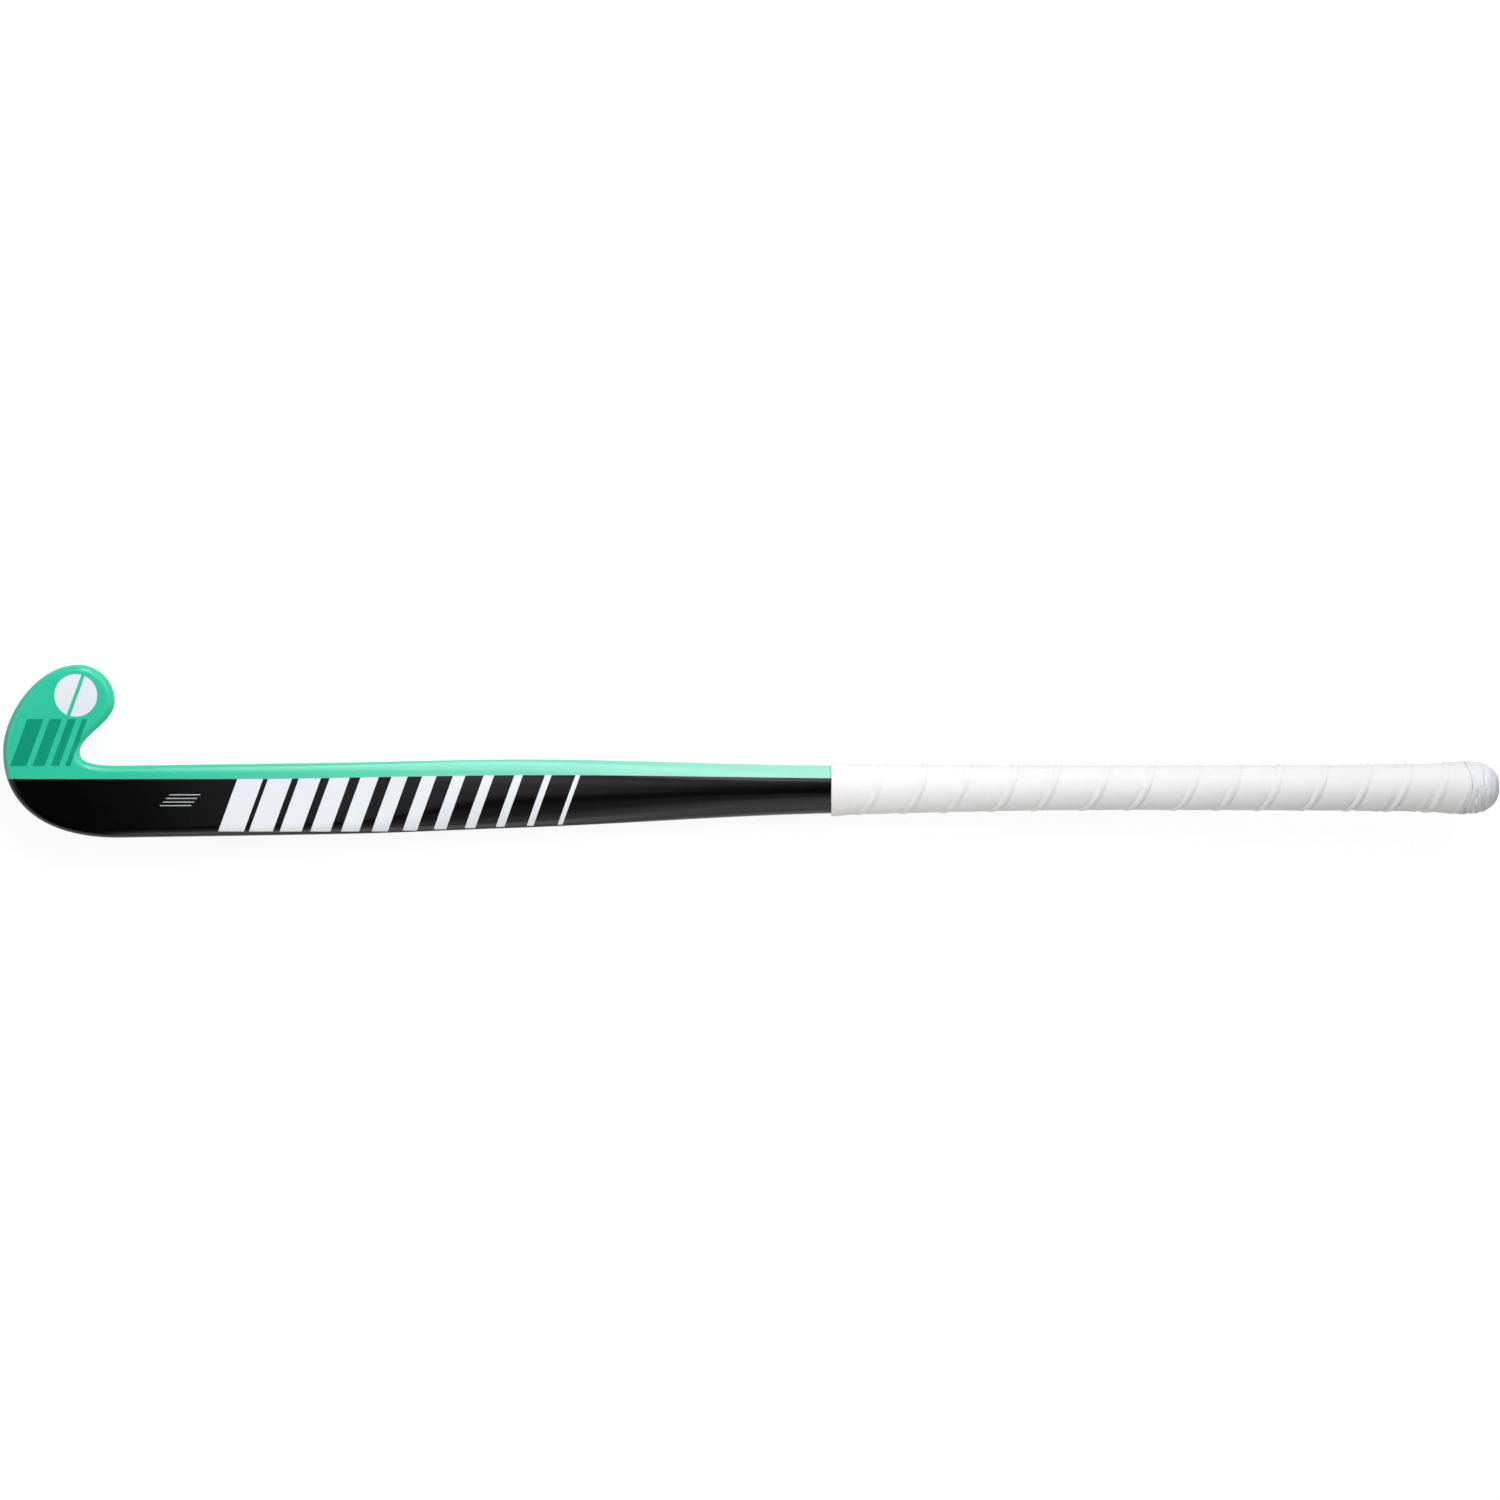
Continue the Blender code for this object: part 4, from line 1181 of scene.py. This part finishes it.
def skin(name, colour, shade, roughness, grain, creases, depth_of_grain, butt_shade=None, cup_shade=None):
    """A polyurethane skin with faint stains and dark pits.

    With a colour for the butt it is the grip's tape, which darkens to that colour towards the butt
    in painted shade, and gets painted shade at its seams. With a colour for the cup's shade it is
    the butt's cup, which gets painted shade of that colour on its lower side and its end.
    """
    made, tree, shader, place = new_finish(name, Sheen_Weight=0.12, Sheen_Roughness=0.5, IOR=1.45)
    leather = grouped(tree, "soft skin", {"Vector": place, "Grain": grain, "Creases": creases})
    base = (*colour, 1)
    if butt_shade:
        # Painted shade: the grip darkens towards the butt, where less light falls
        base = mixed(tree, ramp(tree, axes(tree, place)["X"], *BUTT_SHADE), base, (*butt_shade, 1))
    stains = multiply_add(tree, ramp(tree, leather["Stains"], 0.45, 0.75), 0.14)
    tint = mixed(tree, stains, base, (*shade, 1))
    tint = mixed(tree, multiply_add(tree, leather["Pits"], 0.10), tint, (*shade, 1))
    if cup_shade:
        tint = shaded_cup(tree, place, tint, cup_shade)
    if butt_shade:
        # Painted shade in the grip's seams
        tint = seam_shaded(tree, place, tint, shade, leather["Stains"])
    rough = multiply_add(tree, leather["Stains"], 0.16, roughness - 0.08)
    surfaced(tree, shader, tint, rough, leather["Height"], depth_of_grain)
    return made


def foam(name, colour, cell):
    """Cut foam or filler: round cells of a size, a little darker inside."""
    made, tree, shader, place = new_finish(name, IOR=1.4)
    cells = node(tree, "ShaderNodeTexVoronoi", {"Vector": place, "Scale": 1 / cell})
    patches = noise(tree, place, 60, 3.0)
    walls = ramp(tree, cells.outputs["Distance"], 0.2, 0.7)
    dark = (*(0.72 * c for c in colour), 1)
    tint = mixed(tree, multiply_add(tree, walls, 0.6), dark, (*colour, 1))
    tint = mixed(tree, multiply_add(tree, patches, 0.3), tint, dark)
    surfaced(tree, shader, tint, multiply_add(tree, patches, 0.2, 0.7), walls, 0.3 * cell)
    return made


def woven(name, colour, tow):
    """Woven fibre in resin: two sets of rounded tows of a width, over and under each other."""
    made, tree, shader, place = new_finish(name, Coat_Weight=0.4, Coat_Roughness=0.15)
    inputs = {"Vector": place, "Scale": 0.16 / tow}
    tows = [node(tree, "ShaderNodeTexWave", inputs, bands_direction=axis) for axis in "XZ"]
    pattern = maths(tree, "MAXIMUM", *(tow.outputs["Fac"] for tow in tows))
    tint = mixed(tree, pattern, (*colour, 1), (*(2.6 * c for c in colour), 1))
    surfaced(tree, shader, tint, multiply_add(tree, pattern, 0.2, 0.3), pattern, 0.0002)
    return made


def moulded(name, colour, roughness, grain):
    """Moulded plastic or rubber with a fine spark-eroded grain."""
    made, tree, shader, place = new_finish(name)
    leather = grouped(tree, "soft skin", {"Vector": place, "Grain": grain, "Creases": 0.0})
    tint = mixed(tree, leather["Stains"], (*colour, 1), (*(1.5 * c for c in colour), 1))
    rough = multiply_add(tree, leather["Stains"], 0.2, roughness)
    surfaced(tree, shader, tint, rough, leather["Height"], 0.00012)
    return made


def lamp(name, place, aim, size, power, colour=(1, 1, 1)):
    """An area lamp that faces a point. Its longer side stays level."""
    light = bpy.data.lights.new(name, "AREA")
    light.shape = "RECTANGLE"
    light.size, light.size_y = size
    light.energy = power
    light.color = colour
    made = bpy.data.objects.new(name, light)
    made.location = place
    towards = Vector(aim) - Vector(place)
    made.rotation_euler = towards.to_track_quat("-Z", "Y").to_euler()
    made.visible_camera = False
    bpy.context.scene.collection.objects.link(made)


def softbox(name, low, high, start, end, distance, power, colour):
    """A lamp beside the stick that fills the angles low to high, from straight up, over a part."""
    lean = math.radians((low + high) / 2)
    along = (start + end) / 2
    place = (along, distance * math.sin(lean), AXIS_HEIGHT + distance * math.cos(lean))
    tall = 2 * distance * math.tan(math.radians(high - low) / 2)
    lamp(name, place, (along, 0, AXIS_HEIGHT), (end - start, tall), power, colour)


def bowl_points():
    """Rings of the studio's floor: flat, then a quarter circle up into its wall."""
    turn = np.linspace(0, math.pi / 2, 17)
    flat = np.array(FLOOR_RINGS)
    radius = np.concatenate([flat, FLOOR_RINGS[-1] + FLOOR_BEND * np.sin(turn[1:])])[:, None]
    height = np.concatenate([0 * flat, FLOOR_BEND * (1 - np.cos(turn[1:]))])[:, None]
    angle = np.linspace(0, WHOLE_TURN, 96, endpoint=False)[None, :]
    return np.stack([radius * np.sin(angle), radius * np.cos(angle), height + 0 * angle], axis=-1)


def studio_paper(studio):
    """The floor's paper. Where the camera or a mirror sees it, it glows, and more further out."""
    made = bpy.data.materials.new("studio paper")
    made.use_nodes = True
    tree = made.node_tree
    tree.nodes.clear()
    paper = node(tree, "ShaderNodeBsdfDiffuse", {"Color": (*studio.floor, 1)}).outputs["BSDF"]
    ray = node(tree, "ShaderNodeLightPath").outputs
    seen = maths(tree, "MAXIMUM", ray["Is Camera Ray"], ray["Is Glossy Ray"])
    seen = maths(tree, "MAXIMUM", seen, ray["Is Transmission Ray"])
    place = node(tree, "ShaderNodeTexCoord").outputs["Object"]
    away = node(tree, "ShaderNodeVectorMath", {0: place}, operation="LENGTH").outputs["Value"]
    inputs = {"Value": away, "From Min": 0.7, "From Max": 3.0, "To Min": studio.glow, "To Max": 1.0}
    bright = node(tree, "ShaderNodeMapRange", inputs).outputs["Result"]
    strength = maths(tree, "MULTIPLY", bright, seen)
    glow = node(tree, "ShaderNodeEmission", {"Strength": strength}).outputs["Emission"]
    both = node(tree, "ShaderNodeAddShader", {0: paper, 1: glow}).outputs["Shader"]
    node(tree, "ShaderNodeOutputMaterial", {"Surface": both})
    return made


def add_camera(scene, studio):
    """The camera, straight over the stick, at the distance that gives the frame its width."""
    camera = bpy.data.cameras.new("camera")
    camera.sensor_width = SENSOR_WIDTH
    camera.lens = studio.lens
    camera.clip_end = 100
    eye = bpy.data.objects.new("camera", camera)
    away = studio.frame_width * studio.lens / SENSOR_WIDTH
    eye.location = (*CAMERA_SHIFT, FACE_HEIGHT + away)
    scene.collection.objects.link(eye)
    scene.camera = eye


def add_floor(scene, studio):
    """The studio's floor, closed in its middle, as part of the stage."""
    rings = bowl_points()
    numbers = around(numbered(rings.shape))
    middle = grid_faces(to_pole(numbers[:1], rings[..., 0].size))
    faces = np.vstack([middle, turned_over(grid_faces(numbers))])
    points = np.vstack([rings.reshape(-1, 3), np.zeros((1, 3))])
    mesh, _ = new_mesh("floor", points, faces, studio_paper(studio))
    floor = bpy.data.objects.new("floor", mesh)
    scene.collection.objects.link(floor)


def add_lamps(studio):
    """The large lamps round the studio, and the boxes of light over and beside the stick."""
    lamp("key_lamp", (0.9, 1.6, 1.5), (-0.2, 0, 0), (2.0, 2.0), studio.key_power)
    lamp("head_lamp", (-2.4, 0.3, 2.2), (-0.2, 0, 0), (2.4, 2.4), studio.head_power)
    lamp("butt_lamp", (2.4, 0.3, 1.8), (0.2, 0, 0), (2.0, 2.0), studio.butt_power)
    lamp("low_lamp", (-2.1, -1.25, 0.65), (0.1, 0, 0), (1.6, 1.0), studio.low_power)
    groups = (
        (OVERHEAD_BOXES, studio.overhead, COOL),
        (TOE_SIDE_BOXES, studio.toe_side, COOL),
        (HEEL_SIDE_BOXES, studio.heel_side, WARM),
    )
    for boxes, brightness, colour in groups:
        for name, (*place, power) in boxes.items():
            softbox(name, *place, brightness * power, colour)


class STICK_OT_lacquered_shell(bpy.types.Operator):
    """Make the composite shell in black lacquer"""

    bl_idname = "stick.lacquered_shell"
    bl_label = "Lacquered shell"

    def execute(self, context):
        paint = context.scene.stick_paint
        solid = cup_of(*shell_points())
        black = lacquer("black lacquer", paint.black, paint, deeper=0.7, dust=0.02)
        add_piece("lacquered_shell", *solid, black, "lacquered_composite", ["composite_shell"])
        return {"FINISHED"}


class STICK_OT_green_lacquer(bpy.types.Operator):
    """Spray the green lacquer over the toe and along the upper edge"""

    bl_idname = "stick.green_lacquer"
    bl_label = "Green lacquer"

    def execute(self, context):
        paint = context.scene.stick_paint
        # The green pales towards the grip: partly its fade, partly painted highlight
        fade = {"deeper": 0.94, "dust": 0.12, "faded_and_sheen": paint.pale_green_and_sheen}
        green = lacquer("green lacquer", paint.green, paint, **fade)
        piece = add_piece("green_lacquer", *green_sheet(paint), green, "lacquered_composite")
        thicken(piece, paint.lift + SUNK)
        return {"FINISHED"}


class STICK_OT_prints(bpy.types.Operator):
    """Print the bars along the shaft, the stripes and the disc on the head, and the fine lines"""

    bl_idname = "stick.prints"
    bl_label = "Prints"

    def execute(self, context):
        ink = context.scene.stick_prints
        paint = context.scene.stick_paint
        white = lacquer("white ink", ink.white, paint, deeper=0.95, dust=0.1)
        green = lacquer("dark green ink", ink.dark_green, paint, deeper=0.93, dust=0.1)
        grey = lacquer("grey ink", ink.grey, paint, deeper=0.9, dust=0.1)
        add_print("white_bars", bar_sheets(ink, paint), white, ink.lift)
        add_print("head_stripes", stripe_sheets(ink), green, ink.lift)
        add_print("toe_disc", disc_sheets(ink), white, ink.lift)
        add_print("fine_lines", line_sheets(ink), grey, ink.lift)
        return {"FINISHED"}


class STICK_OT_wound_grip(bpy.types.Operator):
    """Wind the grip's tape round the handle, each turn over the edge of the last"""

    bl_idname = "stick.wound_grip"
    bl_label = "Wound grip"

    def execute(self, context):
        grip = context.scene.stick_grip
        points, surface = tape_rings(grip)
        numbers = numbered(points.shape)
        half = points.shape[1] // 2
        first, last = (np.stack([row[:half], row[half:][::-1]]) for row in numbers[[0, -1]])
        faces = [grid_faces(around(numbers)), turned_over(grid_faces(first)), grid_faces(last)]
        faces = np.vstack(faces)
        feel = (grip.roughness, 1400, 0.9, 0.00010)
        # The tape darkens towards the butt and in its seams in painted shade
        tape = skin("grip tape", grip.tape, grip.stain_and_seam_shade, *feel, butt_shade=grip.butt_shade)
        stands_for = ["grip_tape"]
        add_piece("wound_grip", points, faces, tape, "grip_polyurethane", stands_for, surface)
        return {"FINISHED"}


class STICK_OT_finishing_tape(bpy.types.Operator):
    """Wrap the finishing tape round the end of the grip"""

    bl_idname = "stick.finishing_tape"
    bl_label = "Finishing tape"

    def execute(self, context):
        grip = context.scene.stick_grip
        points = finishing_rings()
        numbers = around(numbered(points.shape))
        faces = grid_faces(np.vstack([numbers, numbers[:1]]))
        tape = skin("finishing tape", grip.finish, grip.stain_and_seam_shade, 0.45, 2200, 0.5, 0.00004)
        add_piece("end_tape", points, faces, tape, "finishing_tape", ["finishing_tape"])
        return {"FINISHED"}


class STICK_OT_butt_cup(bpy.types.Operator):
    """Close the butt with its soft cup"""

    bl_idname = "stick.butt_cup"
    bl_label = "Butt cup"

    def execute(self, context):
        grip = context.scene.stick_grip
        points, faces = cup_of(*cup_rings(0, 72, 144), *cup_rings(CUP_WALL, 16, 144))
        # The cup gets painted shade on its lower side and its end
        cup = skin("butt cup", grip.cup, grip.stain_and_seam_shade, 0.42, 1100, 1.6, 0.00022, cup_shade=grip.cup_shade)
        add_piece("soft_cup", points, faces, cup, "cup_polyurethane", ["butt_cup"])
        return {"FINISHED"}


class STICK_OT_inner_finishes(bpy.types.Operator):
    """Give the cores, the bridge, the plug and the knob their own finishes"""

    bl_idname = "stick.inner_finishes"
    bl_label = "Inner finishes"

    def execute(self, context):
        cut_foam = foam("core foam", (0.62, 0.58, 0.46), 0.0007)
        finishes = {
            "head_core": foam("head filler", (0.34, 0.24, 0.13), 0.0004),
            "face_damping_layer": moulded("damping elastomer", (0.030, 0.036, 0.045), 0.6, 700),
            "toe_side_core": cut_foam,
            "heel_side_core": cut_foam,
            "core_bridge": woven("bridge composite", (0.012, 0.012, 0.013), 0.002),
            "handle_core": cut_foam,
            "butt_plug": moulded("plug plastic", (0.045, 0.045, 0.048), 0.42, 900),
            "knob_ring": moulded("knob rubber", (0.035, 0.034, 0.033), 0.65, 500),
        }
        for name, finish in finishes.items():
            slots = frame["nodes"][name].data.materials
            slots.clear()
            slots.append(finish)
        return {"FINISHED"}


class STICK_OT_studio(bpy.types.Operator):
    """Set the camera over the stick, the pale floor and the lamps"""

    bl_idname = "stick.studio"
    bl_label = "Studio"

    def execute(self, context):
        scene = context.scene
        studio = scene.stick_studio
        add_camera(scene, studio)
        add_floor(scene, studio)
        add_lamps(studio)
        world = bpy.data.worlds.new("dim room")
        scene.world = world
        world.use_nodes = True
        room = world.node_tree.nodes["Background"]
        room.inputs["Color"].default_value = (1, 1, 1, 1)
        room.inputs["Strength"].default_value = studio.world
        scene.view_settings.view_transform = "Standard"
        return {"FINISHED"}


MAKERS = (
    STICK_OT_lacquered_shell,
    STICK_OT_green_lacquer,
    STICK_OT_prints,
    STICK_OT_wound_grip,
    STICK_OT_finishing_tape,
    STICK_OT_butt_cup,
    STICK_OT_inner_finishes,
    STICK_OT_studio,
)
SETTINGS = {
    "stick_paint": StickPaint,
    "stick_prints": StickPrints,
    "stick_grip": StickGrip,
    "stick_studio": StickStudio,
}


class STICK_PT_making(bpy.types.Panel):
    """The steps that make the stick, and their sizes and colours"""

    bl_idname = "STICK_PT_making"
    bl_label = "Indoor hockey stick"
    bl_space_type = "VIEW_3D"
    bl_region_type = "UI"
    bl_category = "Stick"

    def draw(self, context):
        for maker in MAKERS:
            self.layout.operator(maker.bl_idname)
        for name, group in SETTINGS.items():
            column = self.layout.column(align=True)
            for setting in group.__annotations__:
                column.prop(getattr(context.scene, name), setting)


def register():
    """Adds the settings to the scene, then the steps and their panel."""
    for name, group in SETTINGS.items():
        bpy.utils.register_class(group)
        setattr(bpy.types.Scene, name, bpy.props.PointerProperty(type=group))
    for made in (*MAKERS, STICK_PT_making):
        bpy.utils.register_class(made)


def unregister():
    """Takes away what register adds, last one first."""
    for made in (STICK_PT_making, *reversed(MAKERS)):
        bpy.utils.unregister_class(made)
    for name, group in reversed(SETTINGS.items()):
        delattr(bpy.types.Scene, name)
        bpy.utils.unregister_class(group)


def main():
    register()
    bpy.ops.stick.lacquered_shell()
    bpy.ops.stick.green_lacquer()
    bpy.ops.stick.prints()
    bpy.ops.stick.wound_grip()
    bpy.ops.stick.finishing_tape()
    bpy.ops.stick.butt_cup()
    bpy.ops.stick.inner_finishes()
    bpy.ops.stick.studio()
    bpy.context.view_layer.update()


if __name__ == "__main__":
    main()
